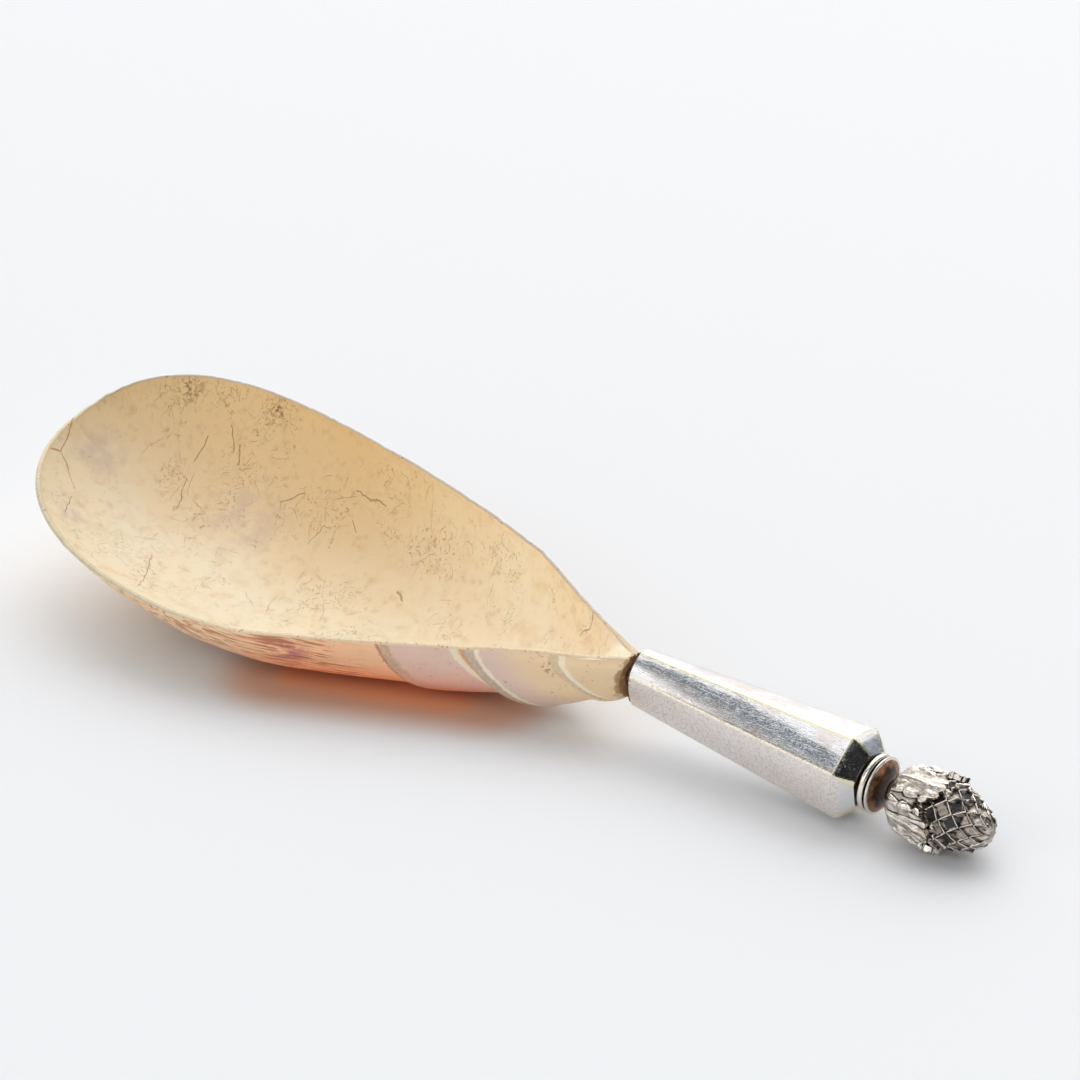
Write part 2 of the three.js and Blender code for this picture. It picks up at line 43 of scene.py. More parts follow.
# Shell bowl
BOWL_START = 1.0
BOWL_LENGTH = 132.9
FAR_HALF_WIDTH = 23.5
NEAR_HALF_WIDTH = 35.3
TIP_OFFSET = -2.5
KEEL_OFFSET = -5.5
RIM_HEIGHT = 4.0
BOWL_DEPTH = 16.0
NEAR_RIM_THICKNESS = 1.1
FAR_RIM_THICKNESS = 0.7
RIM_THINS_FROM = -6
RIM_THINS_OVER = 16
RIM_ROUNDING = 0.3
RIM_WEAR = 0.36
RIM_WEAR_FROM = 0.1
FLOOR_THICKNESS = 1.8
NEAR_SWELL = 3.6
NEAR_SWELL_POWER = 0.5
FAR_SWELL = 2.2
FAR_SWELL_POWER = 1

# Folds from the bowl to the handle: share of the length at the rim, share at the keel, height
FOLDS = [(0.311, 0.277, 1.1), (0.206, 0.122, 3.1), (0.079, 0.01, 0.7)]
FOLD_EDGE = 0.35
FOLD_BEVEL = 1.8
FOLD_STEP = 0.85
FOLD_TAPER = 1.3
FAR_FOLD_FADE = 0.5
FOLD_AT_RIM = 0.12
NEAR_FOLD_POWER = 1.6

# Handle
HANDLE_LENGTH = 44.8
MOUTH_SECTION = (4.14, 3.24, 6.11)
END_SECTION = (6.8, 5.05, 8.2)
SLEEVE_WALL = 0.7
MOUTH_ROUNDING = 0.2
SLEEVE_FLATS_FROM = 0.5
CORNER_WEAR = 0.4
FACET_DENT = 0.035
SHOULDER_LENGTH = 2.8
SHOULDER_TOP = (4.8, 3.0, 5.4)
SHOULDER_BORE = 2.5
SHOULDER_BORE_WEAR = 0.8
SHOULDER_CURVE = 1.2
SEAM = 0.02

# Turned neck and collar
RING_START = 48.2
RECESS_LENGTH = 0.3
RECESS_RADIUS = 4.3
RING_LENGTH = 1.1
RING_RADIUS = 5.25
COLLAR_START = 49.9
GROOVE_LENGTH = 0.1
GROOVE_RADIUS = 4.5
COLLAR_RIM_LENGTH = 0.5
COLLAR_RADIUS = 5.2
COLLAR_STEP = 0.5
COLLAR_CONE_LENGTH = 1.7
NECK_RADIUS = 2.0
BORE = 1.2

# Finial
FINIAL_START = 52.5
FINIAL_LENGTH = 20.0
CORE_RADIUS = 5.3
SCALE_HEIGHT = 0.55
SCALES_AROUND = 10
SCALE_PITCH = 1.75
CONE_START = 1.6
LEAF_COUNT = 5
LEAF_LENGTH = 11.4
LEAF_NOTCH = 7.6
LEAF_ROUNDNESS = 2.2
LEAF_THICKNESS = 0.45
LEAF_CURL = 0.55
LEAF_CROWN = 0.35
VEINS_ACROSS = 4
VEIN_DEPTHS = (0.08, 0.4, 0.25, 0.3, 0.25)
LOBES_ACROSS = 5
LOBE_DEPTH = 0.8
SIDE_LOBES = 2.6
SIDE_LOBE_HEIGHT = 0.5
SIDE_LOBE_PLACE = 0.66
SIDE_LOBE_WIDTH = 0.14
MIDRIB_HEIGHT = 0.18
MIDRIB_WIDTH = 0.12
LEAF_WEB = 0.1
CHASED = 0.26
FIRST_LEAF = math.radians(98)
CLEARANCE = 0.3

# Cement
CEMENT_INSET = SLEEVE_WALL + 0.1
CEMENT_BORE = 2.2
CEMENT_DEPTH = 6.0

# The spoon rests rolled towards its near side
REST_ROLL = math.radians(15)
STUD_START = 33.8


def ring_centre(points):
    return Vector(np.unique(np.round(points, 7), axis=0).mean(axis=0))


def resting_pose():
    """The spoon's place in the frame, from the two ends of the stud on its axis."""
    stud = np.array([v.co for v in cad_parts["finial_stud"].data.vertices])
    middle = stud[:, 0].mean()
    start = ring_centre(stud[stud[:, 0] < middle])
    end = ring_centre(stud[stud[:, 0] > middle])
    way = (end - start).normalized()
    pitch = math.atan2(-way.z, way.x)
    turn = Matrix.Rotation(pitch, 4, "Y") @ Matrix.Rotation(REST_ROLL, 4, "X")
    mouth = start - way * (STUD_START / 1000)
    return Matrix.Translation(mouth) @ turn


POSE = resting_pose()

# Angles in degrees over which an edge is shaded as a sharp one
SHARP = 40
SHARP_ROUGH = 60


def through(*stations):
    """A smooth curve through a few (place, value) stations, held level past its ends."""
    places, values = np.array(stations, float).T
    secants = np.diff(values) / np.diff(places)
    before = np.concatenate([secants[:1], secants])
    after = np.concatenate([secants, secants[-1:]])
    same_way = before * after > 0
    slopes = np.where(same_way, 2 * before * after / np.where(same_way, before + after, 1), 0)

    def curve(x):
        x = np.clip(x, places[0], places[-1])
        i = np.clip(np.searchsorted(places, x, side="right") - 1, 0, len(places) - 2)
        width = places[i + 1] - places[i]
        t = (x - places[i]) / width
        eased = t * t * (3 - 2 * t)
        bend = t * (1 - t) * width * (slopes[i] * (1 - t) - slopes[i + 1] * t)
        return values[i] + (values[i + 1] - values[i]) * eased + bend

    return curve


def smooth(t):
    t = np.clip(t, 0, 1)
    return t * t * (3 - 2 * t)


def lerp(a, b, t):
    return a + (b - a) * t


def lumpiness(places, coarse, fine, fine_share):
    """Smooth lumps of two sizes, at each of a grid of places."""
    lumps = np.zeros(places.shape[:-1])
    for index in np.ndindex(lumps.shape):
        place = Vector(places[index])
        lumps[index] = noise.noise(place * coarse) + fine_share * noise.noise(place * fine)
    return lumps


def grid_faces(rows, columns, closed=True):
    """Faces between rows of points, closed round each row or left open."""
    faces = []
    last = columns if closed else columns - 1
    for i in range(rows - 1):
        for j in range(last):
            a = i * columns + j
            b = i * columns + (j + 1) % columns
            faces.append((a, b, b + columns, a + columns))
    return faces


def end_faces(rows, columns):
    """Faces that close the first row and the last."""
    return [tuple(range(columns)), tuple(range((rows - 1) * columns, rows * columns))]


def add_piece(name, points, faces, material, node, sharp=None, marks=None):
    """A mesh piece that stands for a CAD node. Its points keep their spots on the spoon and other marks."""
    points = np.asarray(points, float).reshape(-1, 3)
    placed = points / 1000 @ np.array(POSE.to_3x3()).T + np.array(POSE.translation)
    placed[:, 2] = np.maximum(placed[:, 2], 0)
    mesh = bpy.data.meshes.new(name)
    mesh.from_pydata(placed.tolist(), [], faces)
    for mark, values in {"spot": points, **(marks or {})}.items():
        layer = mesh.attributes.new(mark, "FLOAT_VECTOR", "POINT")
        layer.data.foreach_set("vector", np.asarray(values, np.float32).reshape(-1))
    shaped = bmesh.new()
    shaped.from_mesh(mesh)
    bmesh.ops.remove_doubles(shaped, verts=shaped.verts, dist=2e-6)
    bmesh.ops.recalc_face_normals(shaped, faces=shaped.faces)
    shaped.to_mesh(mesh)
    shaped.free()
    mesh.shade_smooth()
    if sharp is not None:
        mesh.set_sharp_from_angle(angle=math.radians(sharp))
    obj = bpy.data.objects.new(name, mesh)
    scene.collection.objects.link(obj)
    mesh.materials.append(material)
    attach(obj, "root")
    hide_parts(node)
    return obj


# Shell bowl

FAR_WIDEST = 0.733
NEAR_WIDEST = 0.619
FAR_CORNER = 0.235
FAR_FULLNESS = 2.6
NEAR_FULLNESS = 2.15
CAP_START = 0.64
CAP_FOCUS = 0.709
RINGS = 48
STATION_STEP = 0.8
EDGE_STEPS = 4
CAP_RIBS = 56
LIP_STEPS = 7

far_neck = through((0, 0.04), (0.1, 0.25), (0.235, 0.583))
far_side = through((0.235, 0.583), (0.37, 0.766), (0.537, 0.915), (0.733, 1), (1, 1))
near_side = through(
    (0, 0.06), (0.04, 0.122), (0.13, 0.261), (0.258, 0.51), (0.406, 0.782), (0.507, 0.94), (0.619, 1), (1, 1)
)
keel_side = through((0, 0.05), (0.115, 0.15), (0.275, 0.27), (0.433, 0.73), (0.57, 1))
keel_depth = through(
    (0, 0.2), (0.03, 0.23), (0.075, 0.37), (0.165, 0.64), (0.278, 0.875), (0.436, 1), (0.573, 0.9875),
    (0.709, 0.9), (1, 0.9),
)
far_rim_rise = through((0, -0.4), (0.075, 0.4), (0.45, 0))
near_rim_rise = through((0, 1.2), (0.075, 0.4), (0.45, 0))
roundness = through((0, 2), (0.278, 2.1), (0.436, 2.2), (0.573, 2.2), (0.716, 2), (1, 2))
far_steepness = through(
    (0, 2), (0.278, 1.8), (0.436, 1.7), (0.573, 1.6), (0.716, 1.4), (0.83, 1.2), (1, 1.15)
)
near_steepness = through(
    (0, 2), (0.15, 2), (0.278, 1.75), (0.436, 1.75), (0.573, 1.6), (0.716, 1.3), (0.83, 1.15), (1, 1.15)
)
channel_fill = through((0, 6.6), (0.045, 4.9), (0.09, 3), (0.165, 1.2), (0.28, 0.5), (0.4, 0))
swell = through((0, 1), (0.03, 0.9), (0.08, 0.45), (0.16, 0))
fold_sweep = through((0.28, 1), (0.43, 0))
near_lean = through(
    (0, 0), *[(keel, rim) for rim, keel, _ in reversed(FOLDS)], (0.43, 0.43), (CAP_START, NEAR_WIDEST)
)


def fold_height(share):
    """How far the folds stand out at a share of the keel's length."""
    edge = FOLD_EDGE / BOWL_LENGTH
    ends = [keel + edge for _, keel, _ in FOLDS[1:]] + [0]
    height = np.zeros_like(share)
    for (_, keel, top), end in zip(FOLDS, ends):
        t = np.clip((keel - share) / (keel - end), 0, 1)
        step = FOLD_STEP * smooth((keel + edge - share) / edge)
        bevel = (1 - FOLD_STEP) * np.clip((keel - share) * BOWL_LENGTH / FOLD_BEVEL, 0, 1)
        fold = top * (1 - t**FOLD_TAPER) * (step + bevel)
        height = np.where(share > end, np.maximum(height, fold), height)
    return height


def keel_stations():
    """Stations along the keel, close together at each fold's edge."""
    edge = FOLD_EDGE / BOWL_LENGTH
    stops = sorted([0, CAP_START] + [keel for _, keel, _ in FOLDS] + [keel + edge for _, keel, _ in FOLDS])
    stations = [0.0]
    for start, end in zip(stops, stops[1:]):
        steps = max(math.ceil((end - start) * BOWL_LENGTH / STATION_STEP), EDGE_STEPS)
        stations.extend(lerp(start, end, (np.arange(steps) + 1) / steps))
    return np.array(stations)


def far_width(share):
    return FAR_HALF_WIDTH * np.where(share < FAR_CORNER, far_neck(share), far_side(share))


def bowl_ribs(side):
    """Keel and rim points of the ribs on one side, from the handle to the tip."""
    stations = keel_stations()
    turns = (np.arange(CAP_RIBS) + 1) / CAP_RIBS * math.pi / 2
    station = np.concatenate([stations, np.full(CAP_RIBS, CAP_START)])
    turn = np.concatenate([np.zeros(len(stations)), turns])
    keel_share = station + (CAP_FOCUS - CAP_START) * np.sin(turn)
    if side > 0:
        widest, fullness, half_width = FAR_WIDEST, FAR_FULLNESS, FAR_HALF_WIDTH
        rise, steepness = far_rim_rise, far_steepness
        start = station * FAR_WIDEST / CAP_START
        straight = far_width(start)
    else:
        widest, fullness, half_width = NEAR_WIDEST, NEAR_FULLNESS, NEAR_HALF_WIDTH
        rise, steepness = near_rim_rise, near_steepness
        start = near_lean(station)
        straight = -NEAR_HALF_WIDTH * near_side(start)
    rim_share = start + (1 - widest) * np.sin(turn) ** (2 / fullness)
    capped = TIP_OFFSET + (side * half_width - TIP_OFFSET) * np.maximum(np.cos(turn), 0) ** (2 / fullness)
    keel_x = -BOWL_START - keel_share * BOWL_LENGTH
    rim_x = -BOWL_START - rim_share * BOWL_LENGTH
    rim_y = np.where(turn > 0, capped, straight)
    return {
        "side": np.full(len(station), side),
        "keel_share": keel_share,
        "rim_share": rim_share,
        "steepness": steepness(rim_share),
        "keel": np.stack([keel_x, KEEL_OFFSET * keel_side(keel_share), 0 * station], axis=-1),
        "rim": np.stack([rim_x, rim_y, RIM_HEIGHT + rise(rim_share)], axis=-1),
    }


def all_ribs():
    """The ribs of both sides, from the handle round the tip and back along the near side."""
    far = bowl_ribs(1)
    near = bowl_ribs(-1)
    return {key: np.concatenate([far[key], near[key][:-1][::-1]]) for key in far}


def rib_shares(ribs):
    """How far across towards the rim, and how far down towards the keel, each point of the ribs lies."""
    angle = np.linspace(0, math.pi / 2, RINGS + 1)
    across = np.sin(angle)[None, :] ** (2 / roundness(ribs["rim_share"])[:, None])
    down = np.maximum(np.cos(angle), 0)[None, :] ** (2 / ribs["steepness"][:, None])
    return across, down


def rib_points(ribs, edge, inner):
    """The points of all ribs between the keel and the rim's edge, on the outer or the inner face."""
    across, down = rib_shares(ribs)
    keel = ribs["keel"][:, None, :]
    points = lerp(keel, edge[:, None, :], across[..., None])
    share = ribs["keel_share"]
    swept = lerp(edge[:, None, 0], keel[..., 0], down)
    sweep = np.where(ribs["side"] < 0, fold_sweep(share), 0)[:, None]
    points[..., 0] = lerp(points[..., 0], swept, sweep)
    depth = -BOWL_DEPTH * keel_depth(share)
    if inner:
        depth = depth + FLOOR_THICKNESS + channel_fill(share)
    top = edge[:, None, 2]
    points[..., 2] = top - (top - depth[:, None]) * down
    if inner:
        return points
    side = ribs["side"][:, None]
    bulge = 4 * down * (1 - down)
    swelling = np.where(side < 0, -NEAR_SWELL * bulge**NEAR_SWELL_POWER, FAR_SWELL * bulge**FAR_SWELL_POWER)
    points[..., 1] += swell(share)[:, None] * swelling
    near_fade = lerp(FOLD_AT_RIM, 1, down**NEAR_FOLD_POWER)
    fade = np.where(side < 0, near_fade, smooth(1 - across / FAR_FOLD_FADE))
    way = np.stack([0 * across, points[..., 1] - keel[..., 1], points[..., 2] - RIM_HEIGHT], axis=-1)
    way /= np.linalg.norm(way, axis=-1, keepdims=True)
    return points + way * (fold_height(share)[:, None] * fade)[..., None]


def rim_wear(rim):
    """Small chips and hollows along the rim: how much of its height is worn away at each point."""
    return RIM_WEAR * np.maximum(lumpiness(rim, 0.35, 1.1, 0.6) - RIM_WEAR_FROM, 0)


def bowl_piece(material):
    ribs = all_ribs()
    rim = ribs["rim"]
    along = np.gradient(rim, axis=0) * [1, 1, 0]
    along /= np.linalg.norm(along, axis=-1, keepdims=True)
    inward = np.stack([-along[:, 1], along[:, 0], 0 * along[:, 0]], axis=-1)
    share = ribs["rim_share"]
    opening = np.abs(far_width(share) + NEAR_HALF_WIDTH * near_side(share))
    thinning = smooth((rim[:, 1] - RIM_THINS_FROM) / RIM_THINS_OVER)
    thickness = lerp(NEAR_RIM_THICKNESS, FAR_RIM_THICKNESS, thinning)
    thickness = np.where(share < FAR_CORNER, np.minimum(thickness, opening / 3), thickness)
    rim = rim - np.stack([0 * share, 0 * share, rim_wear(rim)], axis=-1)
    lowered = rim - [0, 0, RIM_ROUNDING]
    outer = rib_points(ribs, lowered, False)
    inner = rib_points(ribs, lowered + inward * thickness[:, None], True)
    across_lip = (np.arange(LIP_STEPS) + 1) / (LIP_STEPS + 1)
    lip = rim[:, None, :] + inward[:, None, :] * (thickness[:, None] * across_lip)[..., None]
    lip[..., 2] -= RIM_ROUNDING * np.abs(2 * across_lip - 1) ** 3
    section = np.concatenate([outer, lip, inner[:, ::-1]], axis=1)
    rows, columns = section.shape[:2]
    faces = grid_faces(rows, columns, closed=False) + end_faces(rows, columns)
    _, down = rib_shares(ribs)
    down = np.concatenate([down, np.zeros((rows, LIP_STEPS)), down[:, ::-1]], axis=1)
    from_handle = np.broadcast_to((share * BOWL_LENGTH)[:, None], down.shape)
    layer = np.repeat([[1, 0, 0], [0, 1, 0], [0, 0, 1]], [RINGS + 1, LIP_STEPS, RINGS + 1], axis=0)
    marks = {
        "fold": np.stack([from_handle, down, 0 * down], axis=-1),
        "layer": np.broadcast_to(layer, section.shape),
    }
    return add_piece(
        "shell_bowl_worn", section, faces, material, "shell_bowl", sharp=SHARP, marks=marks
    )


# Handle

FLAT_STEPS = 12
CORNER_STEPS = 4
MOUTH_STEPS = 6
SLEEVE_ROWS = 110
SHOULDER_ROWS = 24
facet_crown = through((0, 0.34), (7, 0.2), (22, 0.16), (45, 0.22))


def hexagon(half_width, side_half, half_height, wear, crown=0.0):
    """A hexagon's outline of (y, z, nearness to a corner), with worn corners and slightly crowned sides."""
    corners = np.array([
        (half_width, side_half), (0, half_height), (-half_width, side_half),
        (-half_width, -side_half), (0, -half_height), (half_width, -side_half),
    ])
    outline = []
    for i in range(6):
        corner = corners[i]
        before = corners[i - 1] - corner
        after = corners[(i + 1) % 6] - corner
        start = corner + before / np.linalg.norm(before) * wear
        end = corner + after / np.linalg.norm(after) * wear
        for t in np.linspace(0, 1, CORNER_STEPS + 1):
            outline.append((*lerp(lerp(start, corner, t), lerp(corner, end, t), t), 1))
        next_start = corners[(i + 1) % 6] - after / np.linalg.norm(after) * wear
        outward = np.array([-after[1], after[0]]) / np.linalg.norm(after)
        outward *= np.sign(outward @ corner)
        for t in np.arange(1, FLAT_STEPS) / FLAT_STEPS:
            bulge = crown * (1 - (2 * t - 1) ** 2)
            outline.append((*(lerp(end, next_start, t) + outward * bulge), max(0, 1 - 8 * t, 8 * t - 7)))
    return np.array(outline)


def section_ring(x, section, inset, wear, crown=0.0):
    share = (section[0] - inset) / section[0]
    flat = hexagon(*[size * share for size in section], wear * share, crown)
    return np.column_stack([np.full(len(flat), x), flat])


def handle_ring(x, inset=0, wear=CORNER_WEAR):
    section = [lerp(a, b, x / HANDLE_LENGTH) for a, b in zip(MOUTH_SECTION, END_SECTION)]
    crown = facet_crown(x) if inset == 0 else 0
    return section_ring(x, section, inset, wear, crown)


def dented(rings):
    """Soft dents in the sheet's flats."""
    points = rings[..., :3].copy()
    for index in np.ndindex(points.shape[:2]):
        x, y, z = Vector(points[index])
        depth = FACET_DENT * noise.noise(Vector((x * 0.12, y * 0.3, z * 0.3)))
        points[index][1:] *= 1 - depth / math.hypot(y, z)
    return points


def ring_marks(rings):
    edge = np.zeros((*rings.shape[:2], 3))
    edge[..., 0] = rings[..., 3]
    return {"wear": edge}


def sheet_piece(name, points, rings, material, node):
    faces = grid_faces(*points.shape[:2])
    marks = ring_marks(rings)
    return add_piece(name, points, faces, material, node, sharp=SHARP, marks=marks)


def sleeve_piece(material):
    rings = [handle_ring(x, SLEEVE_WALL) for x in (HANDLE_LENGTH, MOUTH_ROUNDING)]
    for t in np.linspace(0, 1, MOUTH_STEPS):
        x = MOUTH_ROUNDING * (1 - math.sin(t * math.pi))
        inset = lerp(SLEEVE_WALL, 0, 0.5 - 0.5 * math.cos(t * math.pi))
        rings.append(handle_ring(x, inset))
    rings.extend(handle_ring(x) for x in np.linspace(SLEEVE_FLATS_FROM, HANDLE_LENGTH, SLEEVE_ROWS))
    rings.append(handle_ring(HANDLE_LENGTH, SLEEVE_WALL))
    rings = np.array(rings)
    return sheet_piece("handle_sleeve_worn", dented(rings), rings, material, "handle_sleeve")


def shoulder_piece(material):
    start = HANDLE_LENGTH + SEAM
    rings = [section_ring(start, END_SECTION, SLEEVE_WALL, CORNER_WEAR)]
    for t in np.linspace(0, 1, SHOULDER_ROWS):
        section = [lerp(a, b, t**SHOULDER_CURVE) for a, b in zip(END_SECTION, SHOULDER_TOP)]
        x = start + t * (SHOULDER_LENGTH + CLEARANCE)
        ring = section_ring(x, section, 0, CORNER_WEAR * (1 + 1.5 * t), facet_crown(x) * (1 - t))
        ring[:, 3] = np.maximum(ring[:, 3], 1 - 5 * t)
        rings.append(ring)
    end = HANDLE_LENGTH + CLEARANCE + SHOULDER_LENGTH
    rings.append(section_ring(end, SHOULDER_TOP, SHOULDER_BORE, SHOULDER_BORE_WEAR))
    rings = np.array(rings)
    return sheet_piece("handle_shoulder_worn", rings[..., :3], rings, material, "handle_shoulder")


# Turned neck

AROUND = 160
RING_STEPS = 17
COLLAR_STEPS = 9
CONE_STEPS = 14


def half_round(start, length, radius, steps, groove=0.0):
    """Profile points of a half-round edge whose two feet lie in grooves of a depth."""
    half = length / 2
    profile = []
    for angle in np.linspace(0, math.pi, steps):
        x = start + half - half * math.cos(angle)
        profile.append((x, radius - half + half * math.sin(angle), groove * math.cos(angle) ** 4))
    return profile


def turned_piece(name, profile, material, node):
    """A solid turned about X from (x, radius, depth in a groove) points."""
    angle = np.arange(AROUND) / AROUND * 2 * math.pi
    x, radius, groove = (column[:, None] for column in np.array(profile).T)
    points = np.stack(np.broadcast_arrays(x, radius * np.cos(angle), radius * np.sin(angle)), axis=-1)
    marks = cavity_marks(np.broadcast_to(groove, points.shape[:2]))
    faces = grid_faces(*points.shape[:2])
    return add_piece(name, points, faces, material, node, sharp=SHARP, marks=marks)


def neck_ring_piece(material):
    start = RING_START + RECESS_LENGTH
    profile = [
        (RING_START, BORE, 1),
        (RING_START, RECESS_RADIUS, 0.7),
        (start, RECESS_RADIUS, 0.7),
        *half_round(start, RING_LENGTH, RING_RADIUS, RING_STEPS, 0.75),
        (start + RING_LENGTH, BORE, 1),
    ]
    return turned_piece("neck_ring_turned", profile, material, "neck_ring")


def collar_piece(material):
    start = COLLAR_START + GROOVE_LENGTH
    end = start + COLLAR_RIM_LENGTH
    profile = [
        (COLLAR_START, BORE, 1),
        (COLLAR_START, GROOVE_RADIUS, 1),
        (start, GROOVE_RADIUS, 1),
        *half_round(start, COLLAR_RIM_LENGTH, COLLAR_RADIUS, COLLAR_STEPS),
    ]
    for t in np.linspace(0, 1, CONE_STEPS):
        radius = lerp(NECK_RADIUS, COLLAR_RADIUS - COLLAR_STEP, (1 - t) ** 2)
        profile.append((end + t * COLLAR_CONE_LENGTH, radius, 0.48 + 0.5 * t))
    profile.append((end + COLLAR_CONE_LENGTH, BORE, 1))
    return turned_piece("flared_collar_turned", profile, material, "flared_collar")


# Finial

CONE_AROUND = 480
CONE_ROWS = 220
COVERED_ROWS = 20
SHADE_END = FINIAL_LENGTH - 1.5
SHADE_FADE = 5
LEAF_AROUND = 640
LEAF_ROWS = 150

core_shape = through(
    (0, 0.38), (0.05, 0.55), (0.1, 0.78), (0.2, 0.95), (0.3, 1), (0.6, 1), (0.7, 0.9), (0.8, 0.74),
    (0.9, 0.54), (0.96, 0.34), (1, 0.02),
)


def core(along):
    return CORE_RADIUS * core_shape(along / FINIAL_LENGTH)


def leaf_turns(angle):
    """An angle round the finial counted in leaves, whole on each midrib."""
    return (angle - FIRST_LEAF) / (math.pi * 2) * LEAF_COUNT


def off_midrib(angle):
    """How far round its leaf an angle lies: 0 on the midrib, 1 between two leaves."""
    turns = leaf_turns(angle)
    return np.abs(2 * (turns - np.round(turns)))


def end_lobes(side):
    """The round lobes at a leaf's end, 1 in the middle of each."""
    return np.abs(np.cos(side * math.pi * LOBES_ACROSS / 2))


def leaf_reach(angle):
    side = off_midrib(angle)
    return lerp(LEAF_LENGTH, LEAF_NOTCH, side**LEAF_ROUNDNESS) - LOBE_DEPTH * (1 - end_lobes(side))


def leaf_lift(along, angle):
    """The lobes' ends curl outwards, most at the tip of the leaf."""
    return LEAF_CURL * (1 - 0.5 * off_midrib(angle)) * (along / leaf_reach(angle)) ** 4


def leaf_relief(share, angle):
    """The carved face of the leaves, over their thickness."""
    side = off_midrib(angle)
    depth = np.array(VEIN_DEPTHS)[np.round(leaf_turns(angle)).astype(int) % LEAF_COUNT]
    fan = side + 0.5 * (1 - share)
    veins = np.abs(np.sin(fan * math.pi * VEINS_ACROSS / 2)) ** 0.5
    carved = -depth * (1 - veins) * smooth(share / 0.25) * smooth((side - 0.1) / 0.08)
    midrib = MIDRIB_HEIGHT * smooth(1 - side / MIDRIB_WIDTH) * smooth((1 - share) / 0.3)
    puffed = (0.05 + depth) * end_lobes(side) * smooth((share - 0.62) / 0.2)
    beat = np.abs(np.sin(share**1.3 * math.pi * SIDE_LOBES))
    side_lobes = SIDE_LOBE_HEIGHT * np.exp(-(((side - SIDE_LOBE_PLACE) / SIDE_LOBE_WIDTH) ** 2)) * beat**0.7
    opened = smooth((share - 0.15) / 0.2)
    body = LEAF_CROWN * (1 - side**2) + carved + midrib + puffed + side_lobes * opened
    inside_scallops = smooth((0.8 + 0.13 * beat - side) / 0.08)
    return lerp(LEAF_WEB - LEAF_THICKNESS, body, lerp(1, inside_scallops, opened))


def cavities(height, reach):
    """How deep each point of a grid lies under the mean of its neighbours, from 0 on high ground to 1."""
    mean = height.copy()
    for _ in range(reach):
        mean = (mean + np.roll(mean, 1, axis=1) + np.roll(mean, -1, axis=1)) / 3
        padded = np.pad(mean, ((1, 1), (0, 0)), mode="edge")
        mean = (padded[:-2] + padded[1:-1] + padded[2:]) / 3
    return smooth(0.5 + (mean - height) / 0.3)


def finial_points(along, angle, radius):
    along = np.broadcast_to(along, radius.shape)
    return np.stack([FINIAL_START + along, radius * np.cos(angle), radius * np.sin(angle)], axis=-1)


def chased(along, angle, radius):
    """The unevenness of hand-finished casting: how far each point of the finial is moved outwards."""
    return CHASED * lumpiness(finial_points(along, angle, radius), 0.55, 1.4, 0.5)


def cavity_marks(cavity):
    return {"wear": np.stack([0 * cavity, cavity, 0 * cavity], axis=-1)}


def scale_places(along, angle):
    """The two whole numbers of the scale that each point lies on, and how far off its middle it is."""
    turns = angle / (math.pi * 2) * SCALES_AROUND
    rows = along / SCALE_PITCH
    a = turns + rows / 2
    b = turns - rows / 2
    return np.round(a), np.round(b), 2 * (a - np.round(a)), 2 * (b - np.round(b))


def scale_relief(along, angle):
    """Lozenge scales with raised edges, each tilted a little over the next, where no leaf covers them."""
    _, _, a_off, b_off = scale_places(along, angle)
    from_middle = np.maximum(np.abs(a_off), np.abs(b_off))
    ridge = np.exp(-(((1 - from_middle) / 0.2) ** 2))
    tilt = (a_off - b_off) / 2
    point = np.maximum(tilt, 0) ** 2
    uncovered = smooth((along - leaf_reach(angle) - CLEARANCE) / (SCALE_PITCH / 3))
    return SCALE_HEIGHT * uncovered * (0.05 + 0.6 * ridge + 0.45 * tilt + 0.5 * point)


def scale_shade(along, angle):
    """How dark the middles of the scales are painted, standing in for the dark they reflect: uneven, and
    fading to nothing near the cone's tip.
    """
    a, b, a_off, b_off = scale_places(along, angle)
    from_middle = np.maximum(np.abs(a_off), np.abs(b_off))
    patchy = 0.86 + 0.3 * np.sin(2.4 * a + 4.1 * b)
    return patchy * smooth((0.85 - from_middle) / 0.3) * smooth((SHADE_END - along) / SHADE_FADE)


def cone_piece(material):
    angle = (np.arange(CONE_AROUND) / CONE_AROUND * 2 * math.pi)[None, :]
    covered = np.linspace(CONE_START, LEAF_NOTCH, COVERED_ROWS, endpoint=False)
    opened = lerp(LEAF_NOTCH, FINIAL_LENGTH, np.sin(np.linspace(0, math.pi / 2, CONE_ROWS)))
    along = np.concatenate([covered, opened])[:, None]
    shrink = np.minimum(1, core(along) / (CORE_RADIUS / 2))
    relief = shrink * scale_relief(along, angle)
    radius = core(along) + relief
    radius += chased(along, angle, radius) * smooth((along - LEAF_NOTCH) / 3) * shrink
    points = finial_points(along, angle, radius)
    faces = grid_faces(*radius.shape) + end_faces(*radius.shape)
    # The scales' painted dark reflections go in with the dark of the hollows
    marks = cavity_marks(np.maximum(cavities(relief, 5), scale_shade(along, angle)))
    return add_piece("pine_cone_cast", points, faces, material, "pine_cone", marks=marks)


